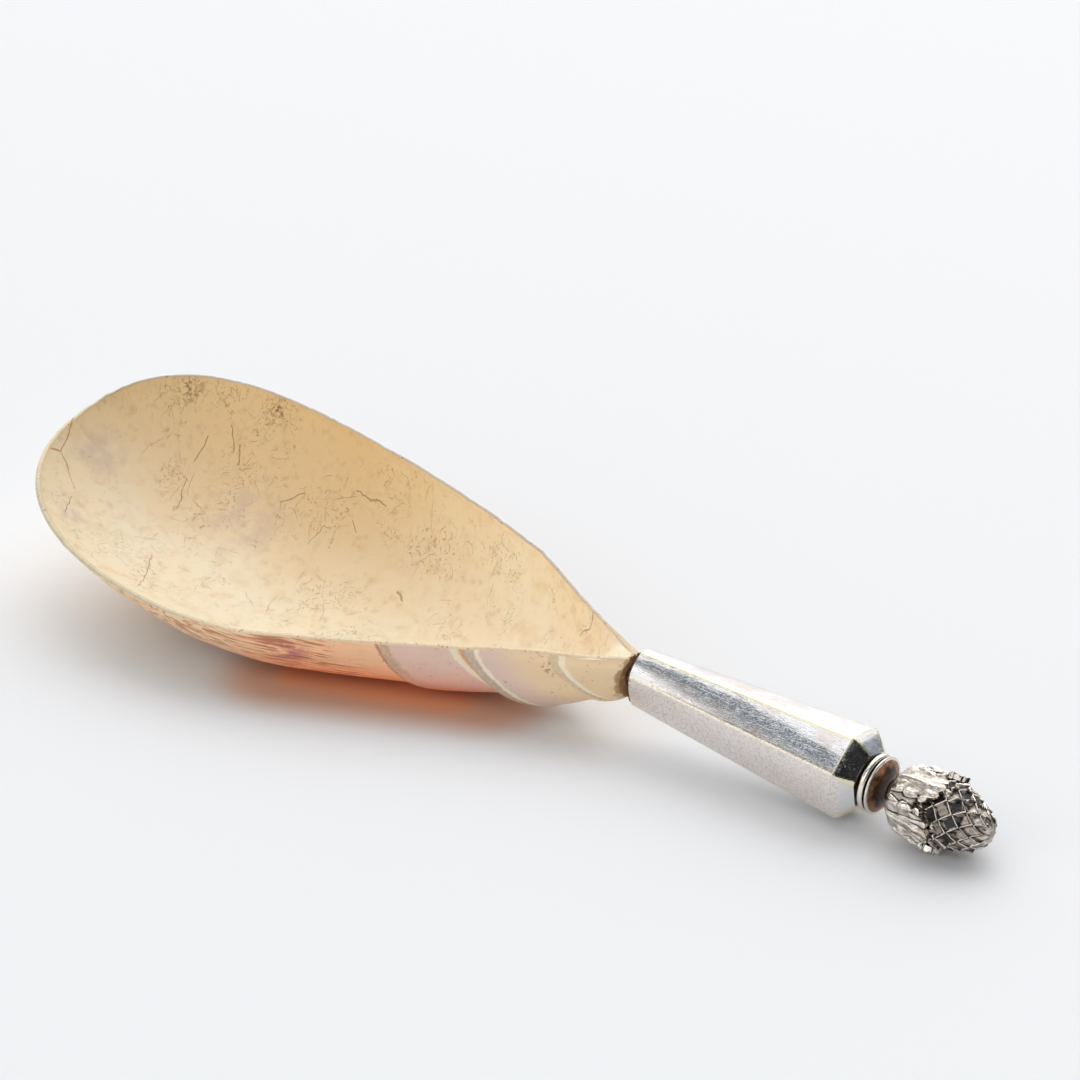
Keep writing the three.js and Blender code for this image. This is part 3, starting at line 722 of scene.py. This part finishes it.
def leaf_cup_piece(material):
    angle = (np.arange(LEAF_AROUND) / LEAF_AROUND * 2 * math.pi)[None, :]
    share = np.linspace(0, 1, LEAF_ROWS)[:, None]
    reach = leaf_reach(angle)
    along = share * reach
    relief = leaf_relief(share, angle)
    raised = (CLEARANCE + LEAF_THICKNESS + relief) * smooth(along / CONE_START) + leaf_lift(along, angle)
    radius = core(along) + raised
    radius += chased(along, angle, radius) * smooth((relief + LEAF_THICKNESS - 0.1) / 0.3)
    outside = finial_points(along, angle, radius)
    under = lerp(CONE_START - CLEARANCE, reach, share)
    inside = finial_points(under, angle, core(under) + CLEARANCE + leaf_lift(under, angle))
    points = np.concatenate([outside, inside[::-1]])
    faces = grid_faces(*points.shape[:2])
    cavity = cavities(relief, 6)
    hidden = np.broadcast_to(smooth((1 - share) / 0.1), cavity.shape)
    marks = cavity_marks(np.concatenate([cavity, hidden[::-1]]))
    return add_piece(
        "leaf_cup_cast", points, faces, material, "leaf_cup", sharp=SHARP_ROUGH, marks=marks
    )


# Cement

# The crust that stands out of the mouth: X, and how far it lies inside the handle's section
CRUST = [(0.4, CEMENT_BORE), (-0.9, 1.5), (-1.1, 0.9), (-0.6, 0.45), (-0.2, 0.3)]


def cement_piece(material):
    outline = [*CRUST, (0.3, CEMENT_INSET), (CEMENT_DEPTH, CEMENT_INSET), (CEMENT_DEPTH, CEMENT_BORE)]
    points = np.array([handle_ring(x, inset) for x, inset in outline])[..., :3]
    for index in np.ndindex(len(CRUST), points.shape[1]):
        place = Vector(points[index])
        points[index][0] -= 0.7 * max(0, noise.noise(place * 0.9)) + 0.25 * noise.noise(place * 3)
    faces = grid_faces(*points.shape[:2]) + end_faces(*points.shape[:2])[:1]
    return add_piece(
        "cement_residue", points, faces, material, "cement_filling", sharp=SHARP_ROUGH
    )


# Materials

# The full-strength middle of a line, as a share of its width, and how much short strokes bend
LINE_CORE = 0.3
STROKE_CURL = 0.6


class Nodes:
    """The nodes of a tree. A value is a number, a colour, a vector or a socket."""

    def __init__(self, tree):
        self.tree = tree

    def feed(self, socket, value):
        if isinstance(value, bpy.types.NodeSocket):
            self.tree.links.new(value, socket)
        elif socket.type == "RGBA":
            socket.default_value = (*value, 1)
        else:
            socket.default_value = value

    def add(self, kind, *values, **settings):
        node = self.tree.nodes.new(kind)
        for key, value in settings.items():
            setattr(node, key, value)
        for socket, value in zip(node.inputs, values):
            if value is not None:
                self.feed(socket, value)
        return node

    def mark(self, name):
        return self.add("ShaderNodeAttribute", attribute_name=name).outputs["Vector"]

    def parts(self, vector):
        return self.add("ShaderNodeSeparateXYZ", vector).outputs

    def math(self, operation, *values):
        return self.add("ShaderNodeMath", *values, operation=operation).outputs[0]

    def vector(self, operation, *values):
        node = self.add("ShaderNodeVectorMath", *values, operation=operation)
        return node.outputs["Value" if operation in ("DOT_PRODUCT", "DISTANCE", "LENGTH") else "Vector"]

    def scaled(self, vector, share):
        return self.vector("SCALE", vector, None, None, share)

    def band(self, value, low, high, at_low=0.0, at_high=1.0):
        """One level up to low, another from high on, and smooth between them."""
        levels = (value, low, high, at_low, at_high)
        return self.add("ShaderNodeMapRange", *levels, interpolation_type="SMOOTHSTEP").outputs[0]

    def noise(self, place, scale, detail=2.0, bend=0.0):
        node = self.add("ShaderNodeTexNoise", place)
        node.inputs["Scale"].default_value = scale
        node.inputs["Detail"].default_value = detail
        node.inputs["Distortion"].default_value = bend
        return node.outputs[0]

    def blots(self, place, scale, detail, low, high, bend=0.0):
        """Soft-edged blots: 0 where a noise is under low, and 1 where it is over high."""
        return self.band(self.noise(place, scale, detail, bend), low, high)

    def dots(self, place, scale):
        return self.add("ShaderNodeTexVoronoi", place, None, scale).outputs["Distance"]

    def stretched(self, place, turn, scale):
        """The place turned by angles in degrees and then scaled, so that a texture runs long one way."""
        turn = [math.radians(angle) for angle in turn]
        return self.add("ShaderNodeMapping", place, None, turn, scale, vector_type="TEXTURE").outputs[0]

    def mix(self, share, first, second):
        node = self.add("ShaderNodeMix", data_type="RGBA")
        self.feed(node.inputs[0], share)
        self.feed(node.inputs[6], first)
        self.feed(node.inputs[7], second)
        return node.outputs[2]

    def chain(self, operation, values):
        result = values[0]
        for value in values[1:]:
            result = self.math(operation, result, value)
        return result

    def product(self, *values):
        return self.chain("MULTIPLY", values)

    def total(self, *values):
        return self.chain("ADD", values)

    def most(self, *values):
        return self.chain("MAXIMUM", values)

    def coat(self, colour, coating, *shares):
        """A colour with another laid over it, as much as the product of the shares."""
        return self.mix(self.product(*shares), colour, coating)

    def patch(self, place, centre, radius):
        """1 at a centre, fading to 0 at a radius."""
        return self.band(self.vector("DISTANCE", place, centre), radius, 0)

    def streak(self, flat, start, end, width):
        """1 along a line between two points of the XY plane, fading to 0 at a width from it."""
        start = Vector((*start, 0))
        way = Vector((*end, 0)) - start
        from_start = self.vector("SUBTRACT", flat, start)
        along = self.vector("DOT_PRODUCT", from_start, way.normalized())
        held = self.math("MINIMUM", self.math("MAXIMUM", along, 0.0), way.length)
        nearest = self.vector("ADD", self.scaled(tuple(way.normalized()), held), start)
        return self.band(self.vector("DISTANCE", flat, nearest), width, width * LINE_CORE)

    def strokes(self, flat, per_mm, half_length, width, rare):
        """Short curved lines on the XY plane, at most one to a cell, each lying its own way."""
        cells = self.add("ShaderNodeTexVoronoi", flat, None, per_mm, voronoi_dimensions="2D")
        off_x, off_y, _ = self.parts(self.vector("SUBTRACT", flat, cells.outputs["Position"]))
        way, bend, shown = self.parts(cells.outputs["Color"])
        turn = self.product(way, math.pi * 2)
        cosine = self.math("COSINE", turn)
        sine = self.math("SINE", turn)
        along = self.total(self.product(off_x, cosine), self.product(off_y, sine))
        across = self.math("SUBTRACT", self.product(off_y, cosine), self.product(off_x, sine))
        curl = self.product(self.math("SUBTRACT", bend, 0.5), along, along, STROKE_CURL / half_length)
        off = self.math("ABSOLUTE", self.total(across, curl))
        return self.product(
            self.band(off, width, width * LINE_CORE),
            self.band(self.math("ABSOLUTE", along), half_length, half_length / 2),
            self.band(shown, rare, rare + 0.15),
        )

    def bump(self, height, distance, below=None):
        """A bump of a height in millimetres."""
        node = self.add("ShaderNodeBump")
        node.inputs["Distance"].default_value = distance / 1000
        self.feed(node.inputs["Height"], height)
        if below is not None:
            self.feed(node.inputs["Normal"], below)
        return node.outputs[0]


class Finish(Nodes):
    """A material and the nodes that feed its shader."""

    def __init__(self, name):
        self.material = bpy.data.materials.new(name)
        self.material.use_nodes = True
        super().__init__(self.material.node_tree)
        self.shader = self.tree.nodes["Principled BSDF"]

    def finish(self, colour, roughness, normal=None, metallic=0.0):
        self.feed(self.shader.inputs["Base Color"], colour)
        self.feed(self.shader.inputs["Roughness"], roughness)
        self.feed(self.shader.inputs["Metallic"], metallic)
        if normal is not None:
            self.feed(self.shader.inputs["Normal"], normal)
        return self.material


# Marks on the inside of the bowl, each as the X and Y of its start and end, and its width
SCRATCHES = [
    ((-115.0, 13.2), (-114.5, 8.5), 0.12),
    ((-111.5, 16.8), (-108.7, 13.5), 0.1),
    ((-108.1, 14.8), (-106.7, 12.1), 0.18),
    ((-113.9, 4.9), (-111.3, -1.1), 0.08),
    ((-91.5, 13.3), (-94.7, 10.0), 0.12),
    ((-105.8, -14.3), (-97.7, -25.4), 0.09),
    ((-84.1, 10.3), (-84.5, 5.7), 0.08),
    ((-123.1, -16.1), (-119.6, -21.0), 0.08),
    ((-81.2, 16.9), (-73.7, 16.7), 0.11),
    ((-78.9, 13.0), (-77.3, 11.4), 0.09),
    ((-13.6, 5.5), (-17.5, 4.3), 0.12),
]
PIT = ((-62.2, 4.9), (-60.2, 4.2), 0.4)
CRACKS = [
    ((-133.3, -3.0), (-131.0, -8.2), 0.12),
    ((-131.0, -8.2), (-130.4, -10.2), 0.2),
    ((-130.4, -10.2), (-127.6, -11.7), 0.1),
    ((-127.6, -11.7), (-124.2, -14.1), 0.07),
    ((-130.6, -10.6), (-131.0, -11.6), 0.4),
]
# Layers of hair-fine strokes: cells to a millimetre, half length, width, rareness, and the least density
# of scratches that they show in
HAIRS = [
    (0.11, 3.4, 0.045, 0.45, 0.34),
    (0.2, 2.0, 0.045, 0.5, 0.4),
    (0.37, 1.1, 0.05, 0.45, 0.44),
    (0.7, 0.55, 0.06, 0.45, 0.5),
    (1.2, 0.3, 0.08, 0.3, 0.54),
]
VIOLET_CLOUDS = [((-127.3, -3.3, -1.1), 8), ((-98.6, 4.0, -11.0), 12), ((-119, -20, 0), 7)]
# Clusters of scratches: centre, radius and strength
DARK_CLUSTERS = [
    ((-121.6, 16.8, 2.2), 6, 0.95), ((-103.5, 20.9, 1.5), 5, 1.0), ((-107.9, -12.3, -9.5), 7, 0.45),
    ((-60.6, 13.7, -7.1), 6, 0.4),
]

CREAM = (0.98, 0.84, 0.62)
OCHRE = (0.81, 0.57, 0.29)
PEACH = (0.98, 0.8, 0.56)
VIOLET = (0.5, 0.42, 0.42)
HAIRLINE = (0.26, 0.14, 0.05)
AMBER = (0.62, 0.3, 0.1)
GLOW = (1.0, 0.38, 0.12)
BROWN = (0.45, 0.27, 0.12)
TAN = (0.8, 0.63, 0.42)
PINK = (0.88, 0.58, 0.38)
MAUVE = (0.7, 0.57, 0.5)
SAND = (0.84, 0.63, 0.39)
PALE = (0.93, 0.84, 0.66)
OLIVE = (0.42, 0.4, 0.27)
UMBER = (0.3, 0.14, 0.05)
RIM_GREEN = (0.6, 0.53, 0.36)
RIM_GREY = (0.56, 0.48, 0.41)
PURPLE = (0.3, 0.13, 0.18)
PURPLE_PATCH = ((-58.4, -28.0, 0.0), 6.5)

# The third fold's bands lean more than its edge
THIRD_FOLD_LEAN = 7.0
THIRD_FOLD_SHIFT = 3.0


def fold_bands(look, colour, from_handle, down, spot):
    """The coloured growth bands that run beside each fold's edge, from the rim down, and a thin pale line
    past the second and third edges that is a painted highlight.
    """
    first, second, third = [rim * BOWL_LENGTH for rim, _, _ in FOLDS]
    third += THIRD_FOLD_SHIFT
    place = look.total(from_handle, look.math("SUBTRACT", look.noise(spot, 0.9, 3), 0.5))
    leaning = look.total(place, look.product(down, THIRD_FOLD_LEAN))
    high = look.band(down, 0.7, 0.25)
    streaky = look.total(0.5, look.product(look.blots(spot, 1.4, 3, 0.35, 0.6), 0.5))
    stains = look.product(look.blots(spot, 1.1, 2, 0.5, 0.6), look.band(down, 0.3, 0.1))

    # The middle of each band, its half width, its soft edge, its colour and its shares
    bands = [
        (place, first - 0.9, 0.7, 0.8, OLIVE, high, streaky, 0.9),
        (place, first, 0.1, 0.3, UMBER, 0.6),
        (place, second + 1.4, 0.6, 0.6, PALE, 0.7),
        (place, second + 0.3, 0.25, 0.6, AMBER, high, 0.85),
        (place, second - 0.9, 0.7, 0.7, OLIVE, streaky, 0.75),
        # Painted highlight: the thin pale line past the second fold's olive band
        (place, second - 2.2, 0.15, 0.5, PALE, 0.8),
        (leaning, third - 0.9, 0.6, 0.6, OLIVE, streaky, 0.5),
        # Painted highlight: the thin pale line past the third fold's olive band
        (leaning, third - 2.3, 0.3, 0.5, PALE, 0.8),
        (leaning, third + 0.8, 0.6, 0.8, BROWN, stains),
    ]
    for at, middle, half, soft, coating, *shares in bands:
        off = look.math("ABSOLUTE", look.math("SUBTRACT", at, middle))
        colour = look.coat(colour, coating, look.band(off, half + soft, half), *shares)
    return colour


def hair_lines(look, spot, flat):
    """Short bent lines and specks inside the bowl, thickest in a few clusters, and those clusters."""
    clusters = [look.product(look.patch(spot, at, radius), share) for at, radius, share in DARK_CLUSTERS]
    cluster = look.most(*clusters)
    often = look.total(look.noise(spot, 0.12, 2), look.product(cluster, 0.22))
    hairs = []
    for per_mm, half_length, width, rare, low in HAIRS:
        moved = look.vector("ADD", flat, (per_mm * 100, per_mm * 70, 0))
        stroke = look.strokes(moved, per_mm, half_length, width, rare)
        hairs.append(look.product(stroke, look.band(often, low, low + 0.15)))
    specks = look.product(
        look.band(look.dots(spot, 0.9), 0.16, 0.1),
        look.blots(spot, 0.45, 1, 0.55, 0.62),
        look.band(often, 0.45, 0.65),
        0.9,
    )
    smudges = look.product(look.blots(spot, 1.0, 6, 0.48, 0.64, 0.8), cluster, cluster, 1.8)
    winding = look.math("ABSOLUTE", look.math("SUBTRACT", look.noise(spot, 0.4, 3, 0.5), 0.5))
    broken = look.product(look.blots(spot, 0.9, 2, 0.5, 0.6), look.band(often, 0.42, 0.6))
    crazed = look.product(look.band(winding, 0.014, 0.003), broken)
    return look.most(*hairs, specks, smudges, crazed), cluster


def shell_finish():
    look = Finish("worn_shell")
    spot = look.mark("spot")
    x, y, _ = look.parts(spot)
    outer, lip, inner = look.parts(look.mark("layer"))
    from_handle, down, _ = look.parts(look.mark("fold"))
    clouds = look.noise(spot, 0.07, 3, 0.5)
    fine_clouds = look.noise(spot, 0.3, 4, 0.3)

    # Inside: cream, ochre along the far wall of the tip half, with grey-violet clouds. The far wall's ochre
    # is painted warm light, standing in for light bounced inside and passed through the shell
    inside = look.mix(look.band(clouds, 0.4, 0.65), CREAM, PEACH)
    inside = look.coat(inside, OCHRE, look.band(y, -18.0, 20.0), look.band(x, -30.0, -85.0), 0.95)
    inside = look.coat(inside, OCHRE, look.band(fine_clouds, 0.45, 0.75), 0.35)
    violet = look.most(*[look.patch(spot, centre, radius) for centre, radius in VIOLET_CLOUDS])
    inside = look.coat(inside, VIOLET, violet, look.band(fine_clouds, 0.3, 0.6), 0.4)
    mottle = look.blots(spot, 0.5, 8, 0.5, 0.8)
    inside = look.coat(inside, BROWN, mottle, look.band(clouds, 0.3, 0.6), 0.35)

    # Outside: tan, pink towards the first fold, mauve and sand on the folds
    outside = look.mix(look.band(from_handle, 75.0, 52.0), TAN, PINK)
    outside = look.coat(outside, MAUVE, look.band(from_handle, 42.0, 40.5))
    outside = look.coat(outside, SAND, look.band(from_handle, 26.0, 15.0))
    outside = look.coat(outside, OCHRE, look.band(clouds, 0.45, 0.7), 0.35)
    outside = fold_bands(look, outside, from_handle, down, spot)

    # The far side is plainer: its folds and bands fade
    near = look.band(y, 4.0, -10.0)
    plain = look.mix(look.band(from_handle, 60.0, 20.0), TAN, SAND)
    outside = look.mix(look.total(0.25, look.product(near, 0.75)), plain, outside)
    purple = look.patch(spot, *PURPLE_PATCH)
    outside = look.coat(outside, PURPLE, purple, look.band(fine_clouds, 0.38, 0.55), 0.9)
    # Painted glow: a warm tint on the near underside stands in for light that comes through the shell
    under = look.product(look.band(down, 0.55, 0.8), look.band(from_handle, 22.0, 40.0))
    outside = look.coat(outside, GLOW, under, near, 0.4)

    # Rim: greenish and glossy on the near side, a thin grey line on the far side
    greenish = look.product(look.band(from_handle, 60.0, 85.0), look.band(y, -14.0, -26.0))
    rim = look.mix(greenish, TAN, RIM_GREEN)
    rim = look.coat(rim, RIM_GREY, look.band(y, -4.0, 12.0))
    rim = look.coat(rim, UMBER, look.blots(spot, 1.6, 3, 0.62, 0.68), 0.7)

    # Scratches inside, on the spot seen from above and bent a little
    wander = look.add("ShaderNodeTexNoise", spot, None, 0.35).outputs["Color"]
    wander = look.vector("SUBTRACT", wander, (0.5, 0.5, 0.5))
    flat = look.vector("MULTIPLY", look.vector("ADD", spot, look.scaled(wander, 1.6)), (1, 1, 0))
    known = look.most(*[look.streak(flat, *line) for line in SCRATCHES])
    cracks = look.most(*[look.streak(flat, *line) for line in CRACKS])
    lines, cluster = hair_lines(look, spot, flat)
    inside = look.coat(inside, HAIRLINE, lines, look.total(0.45, look.product(cluster, 0.25)))
    inside = look.coat(inside, HAIRLINE, known, 0.6)
    inside = look.coat(inside, BROWN, look.streak(flat, *PIT), 0.8)

    # Lengthwise scratches on the outside of the near wall, and crumbs of dirt
    wall_marks = look.product(
        look.blots(look.stretched(spot, (0, 8, 22), (9, 0.5, 0.5)), 0.9, 3, 0.47, 0.6, 0.2),
        look.blots(spot, 0.1, 2, 0.3, 0.48),
        look.band(from_handle, 42.0, 52.0),
        look.band(from_handle, 110.0, 90.0),
        near,
        0.75,
    )
    crumbs = look.product(look.blots(spot, 1.3, 3, 0.6, 0.7), look.blots(spot, 0.25, 2, 0.45, 0.6), 0.4)
    outside = look.coat(outside, HAIRLINE, look.most(wall_marks, crumbs))
    colour = look.mix(look.band(inner, 0.4, 0.6), outside, inside)
    colour = look.coat(colour, rim, look.band(lip, 0.3, 0.7))
    colour = look.coat(colour, AMBER, cracks, 0.75)

    # Brown stain from the cement
    ragged = look.total(x, look.product(look.noise(spot, 0.9, 3), 2.5))
    colour = look.coat(colour, UMBER, look.band(ragged, -0.9, 0.2), 0.85)

    pits = look.most(look.product(lines, 0.6), known, cracks)
    relief = look.math("SUBTRACT", look.product(look.noise(spot, 0.2, 3), 0.4), pits)
    normal = look.bump(relief, 0.12)
    normal = look.bump(look.noise(look.stretched(spot, (0, 0, 30), (6, 1, 1)), 2.5, 2), 0.006, normal)
    glossy_lip = look.product(look.band(lip, 0.2, 0.8), -0.2)
    roughness = look.total(0.36, look.product(fine_clouds, 0.25), glossy_lip)

    # Light from the hollow glows through to the underside
    shader = look.shader
    lower = look.total(0.3, look.product(look.band(down, 0.2, 0.7), 0.6))
    glow = look.product(outer, look.band(from_handle, 8.0, 50.0), lower)
    look.feed(shader.inputs["Subsurface Weight"], look.total(glow, 0.1))
    shader.inputs["Subsurface Radius"].default_value = (1.0, 0.3, 0.08)
    shader.inputs["Subsurface Scale"].default_value = 0.009
    shader.inputs["IOR"].default_value = 1.5
    return look.finish(colour, roughness, normal)


COOL_SILVER = (0.86, 0.86, 0.87)
WARM_SILVER = (0.78, 0.73, 0.71)
COPPER = (0.86, 0.62, 0.5)
WORN_EDGE = (0.82, 0.76, 0.52)
PITTED = (0.16, 0.14, 0.13)
PAINTED_BRIGHT_FLANK = (1, 0.93, 0.88)
FLANK_SPECKS = (0.5, 0.41, 0.38)
# The three ways, in degrees, that the scratches in the sheet run
SCRATCH_TURNS = [(0, 0, 0), (0, 12, 25), (0, -20, -50)]


def sheet_finish():
    look = Finish("silver_sheet_worn")
    spot = look.mark("spot")
    edge = look.parts(look.mark("wear"))[0]
    colour = look.mix(look.blots(spot, 0.16, 4, 0.4, 0.68, 0.4), COOL_SILVER, WARM_SILVER)
    colour = look.coat(colour, COPPER, look.blots(spot, 0.11, 2, 0.62, 0.76), 0.45)
    colour = look.coat(colour, WORN_EDGE, look.band(edge, 0.35, 0.85), 0.75)

    # The near flank is dull and pitted all over, the other flats only here and there. The flank's paler,
    # warmer colour is partly painted light that brightens the floor's reflection in it
    x, y, _ = look.parts(spot)
    widening = (END_SECTION[0] - MOUTH_SECTION[0]) / HANDLE_LENGTH
    half_width = look.total(MOUTH_SECTION[0], look.product(x, widening))
    flank = look.band(look.math("DIVIDE", y, half_width), -0.88, -0.96)
    patchy = look.total(look.noise(spot, 0.3, 2), look.product(flank, 0.08))
    pits = look.product(look.blots(spot, 2.6, 3, 0.62, 0.72), look.band(patchy, 0.45, 0.62))
    colour = look.coat(colour, PITTED, pits, 0.7)
    dull = look.coat(colour, PAINTED_BRIGHT_FLANK, 0.7)
    dull = look.coat(dull, FLANK_SPECKS, look.blots(spot, 2.2, 4, 0.46, 0.64), 0.35)
    colour = look.coat(colour, dull, flank)

    places = [look.stretched(spot, turn, (12, 0.5, 0.5)) for turn in SCRATCH_TURNS]
    scratched = look.total(*[look.blots(place, 2.6, 3, 0.55, 0.7, 0.1) for place in places])
    scratched = look.math("DIVIDE", scratched, len(places))
    grainy = look.product(look.noise(spot, 3.5, 2), flank, 1.5)
    relief = look.total(look.math("SUBTRACT", scratched, look.product(pits, 1.5)), grainy)
    normal = look.bump(look.noise(spot, 0.3, 2), 0.04)
    normal = look.bump(relief, 0.02, normal)
    misty = look.product(look.noise(spot, 0.5, 3), 0.06)
    roughness = look.total(0.02, misty, look.product(flank, 0.18))
    return look.finish(colour, roughness, normal, 1.0)


# Bright, middle and dark tones
AGED = [(0.8, 0.74, 0.68), (0.32, 0.18, 0.1), (0.05, 0.03, 0.02)]
CAST = [(0.88, 0.82, 0.74), (0.42, 0.36, 0.31), (0.018, 0.016, 0.015)]
CEMENT = [(0.035, 0.018, 0.01), (0.2, 0.1, 0.05)]


def hollow_finish(name, bright, mid, dark, threshold, roughness):
    """Cast or turned silver that has gone dark in its hollows, and on the cone also in the middles of the
    scales, where the dark is a painted reflection.
    """
    look = Finish(name)
    spot = look.mark("spot")
    cavity = look.parts(look.mark("wear"))[1]
    mottled = look.math("SUBTRACT", look.noise(spot, 0.8, 4, 0.4), 0.5)
    depth = look.total(cavity, look.product(mottled, 0.35))
    grains = look.noise(spot, 3.2, 3)
    colour = look.mix(look.band(depth, threshold - 0.2, threshold + 0.02), bright, mid)
    colour = look.coat(colour, dark, look.band(depth, threshold, threshold + 0.16))
    colour = look.coat(colour, dark, look.band(grains, 0.6, 0.7), 0.5)
    normal = look.bump(grains, 0.02)
    normal = look.bump(look.noise(spot, 1.0, 2), 0.06, normal)
    rougher = look.product(look.band(depth, threshold - 0.2, threshold), 0.25)
    metal = look.band(depth, threshold + 0.3, threshold + 0.1)
    return look.finish(colour, look.total(roughness, rougher), normal, metal)


def cement_finish():
    look = Finish("dark_cement_crust")
    lumps = look.noise(look.mark("spot"), 1.6, 4)
    colour = look.mix(look.band(lumps, 0.4, 0.65), *CEMENT)
    return look.finish(colour, 0.75, look.bump(lumps, 0.4))


FLOOR_FRONT = (0.83, 0.838, 0.855)
FLOOR_BACK = (0.9, 0.905, 0.92)
WARM_FLOOR = (0.72, 0.42, 0.28)
# Warm patches on the floor stand in for light that comes through the shell: colour, start and end of a
# line in metres, width and share
WARM_PATCHES = [
    (WARM_FLOOR, (-0.034, -0.014), (0.0, 0.0), 0.017, 0.9),
    (GLOW, (-0.032, -0.011), (-0.006, -0.003), 0.008, 0.5),
]


def floor_finish():
    look = Finish("pale_floor")
    place = look.add("ShaderNodeTexCoord").outputs["Object"]
    _, depth, _ = look.parts(place)
    # Painted shade: the floor's colour darkens towards the front, standing in for less light falling there
    colour = look.mix(look.band(depth, -0.3, 0.6), FLOOR_FRONT, FLOOR_BACK)
    for coating, start, end, width, share in WARM_PATCHES:
        colour = look.coat(colour, coating, look.streak(place, start, end, width), share)
    return look.finish(colour, 0.85, look.bump(look.noise(place, 900.0, 2), 0.01))


sheet = sheet_finish()
aged = hollow_finish("aged_silver", *AGED, 0.5, 0.18)
cast = hollow_finish("cast_silver", *CAST, 0.56, 0.14)

bowl_piece(shell_finish())
cement_piece(cement_finish())
sleeve_piece(sheet)
shoulder_piece(sheet)
neck_ring_piece(cast)
collar_piece(aged)
leaf_cup_piece(cast)
cone_piece(cast)
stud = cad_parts["finial_stud"]
stud.data.materials.clear()
stud.data.materials.append(aged)

# Stage, light and camera

FLOOR_HALF = 3.0

# One broad soft light high behind the spoon on its left, in a room that is dimmer in front and dark on
# the right. The room's level of light goes by the cosine of the angle to that light
LIGHT_WAY = Vector((-0.35, 0.55, 0.76)).normalized()
ROOM = [
    (0.0, 1.3), (0.25, 1.3), (0.36, 0.42), (0.45, 0.33), (0.47, 0.27), (0.59, 0.27), (0.61, 1.15),
    (0.85, 1.15), (0.93, 2.4), (1.0, 2.6),
]
TOP_LEVEL = 3.0
DARK_RIGHT = 0.02
DIM_FRONT = 0.65
DIM_TINT = (0.74, 0.87, 1.0)
WHITE = (1, 1, 1)

CAMERA_AZIMUTH = math.radians(38.37)
CAMERA_ELEVATION = math.radians(25.4)
CAMERA_DISTANCE = 0.7585
CAMERA_TARGET = Vector((-0.01577, 0.03615, 0.014))
FIELD_OF_VIEW = math.radians(15)
CLIP_END = 20


def lay_floor():
    corners = [(x * FLOOR_HALF, y * FLOOR_HALF, 0) for x, y in ((-1, -1), (1, -1), (1, 1), (-1, 1))]
    mesh = bpy.data.meshes.new("floor")
    mesh.from_pydata(corners, [], [(0, 1, 2, 3)])
    floor = bpy.data.objects.new("floor", mesh)
    scene.collection.objects.link(floor)
    mesh.materials.append(floor_finish())


def light_studio():
    world = bpy.data.worlds.new("studio")
    scene.world = world
    world.use_nodes = True
    studio = Nodes(world.node_tree)
    way = studio.add("ShaderNodeTexCoord").outputs["Generated"]
    levels = studio.add("ShaderNodeFloatCurve", None, studio.vector("DOT_PRODUCT", way, LIGHT_WAY))
    points = levels.mapping.curves[0].points
    points[0].location = (0, ROOM[0][1] / TOP_LEVEL)
    points[1].location = (1, ROOM[-1][1] / TOP_LEVEL)
    for at, level in ROOM[1:]:
        points.new(at, level / TOP_LEVEL)
    for point in points:
        point.handle_type = "VECTOR"
    levels.mapping.update()
    level = levels.outputs["Value"]
    x, y, z = studio.parts(way)
    right = studio.band(x, 0.55, 0.7, TOP_LEVEL, TOP_LEVEL * DARK_RIGHT)
    front = studio.band(y, -0.45, 0.05, studio.band(z, 0.2, 0.6, DIM_FRONT, 1.0), 1.0)
    background = studio.tree.nodes["Background"]
    studio.feed(background.inputs["Color"], studio.mix(studio.band(level, 0.092, 0.108), DIM_TINT, WHITE))
    studio.feed(background.inputs["Strength"], studio.product(level, right, front))


def place_camera():
    level = math.cos(CAMERA_ELEVATION)
    outwards = Vector((
        math.sin(CAMERA_AZIMUTH) * level, -math.cos(CAMERA_AZIMUTH) * level, math.sin(CAMERA_ELEVATION)
    ))
    place = CAMERA_TARGET + outwards * CAMERA_DISTANCE
    data = bpy.data.cameras.new("camera")
    data.angle = FIELD_OF_VIEW
    data.clip_end = CLIP_END
    camera = bpy.data.objects.new("camera", data)
    camera.location = place
    camera.rotation_euler = (place - CAMERA_TARGET).to_track_quat("Z", "Y").to_euler()
    scene.collection.objects.link(camera)
    scene.camera = camera


lay_floor()
light_studio()
place_camera()
scene.view_settings.view_transform = "Standard"
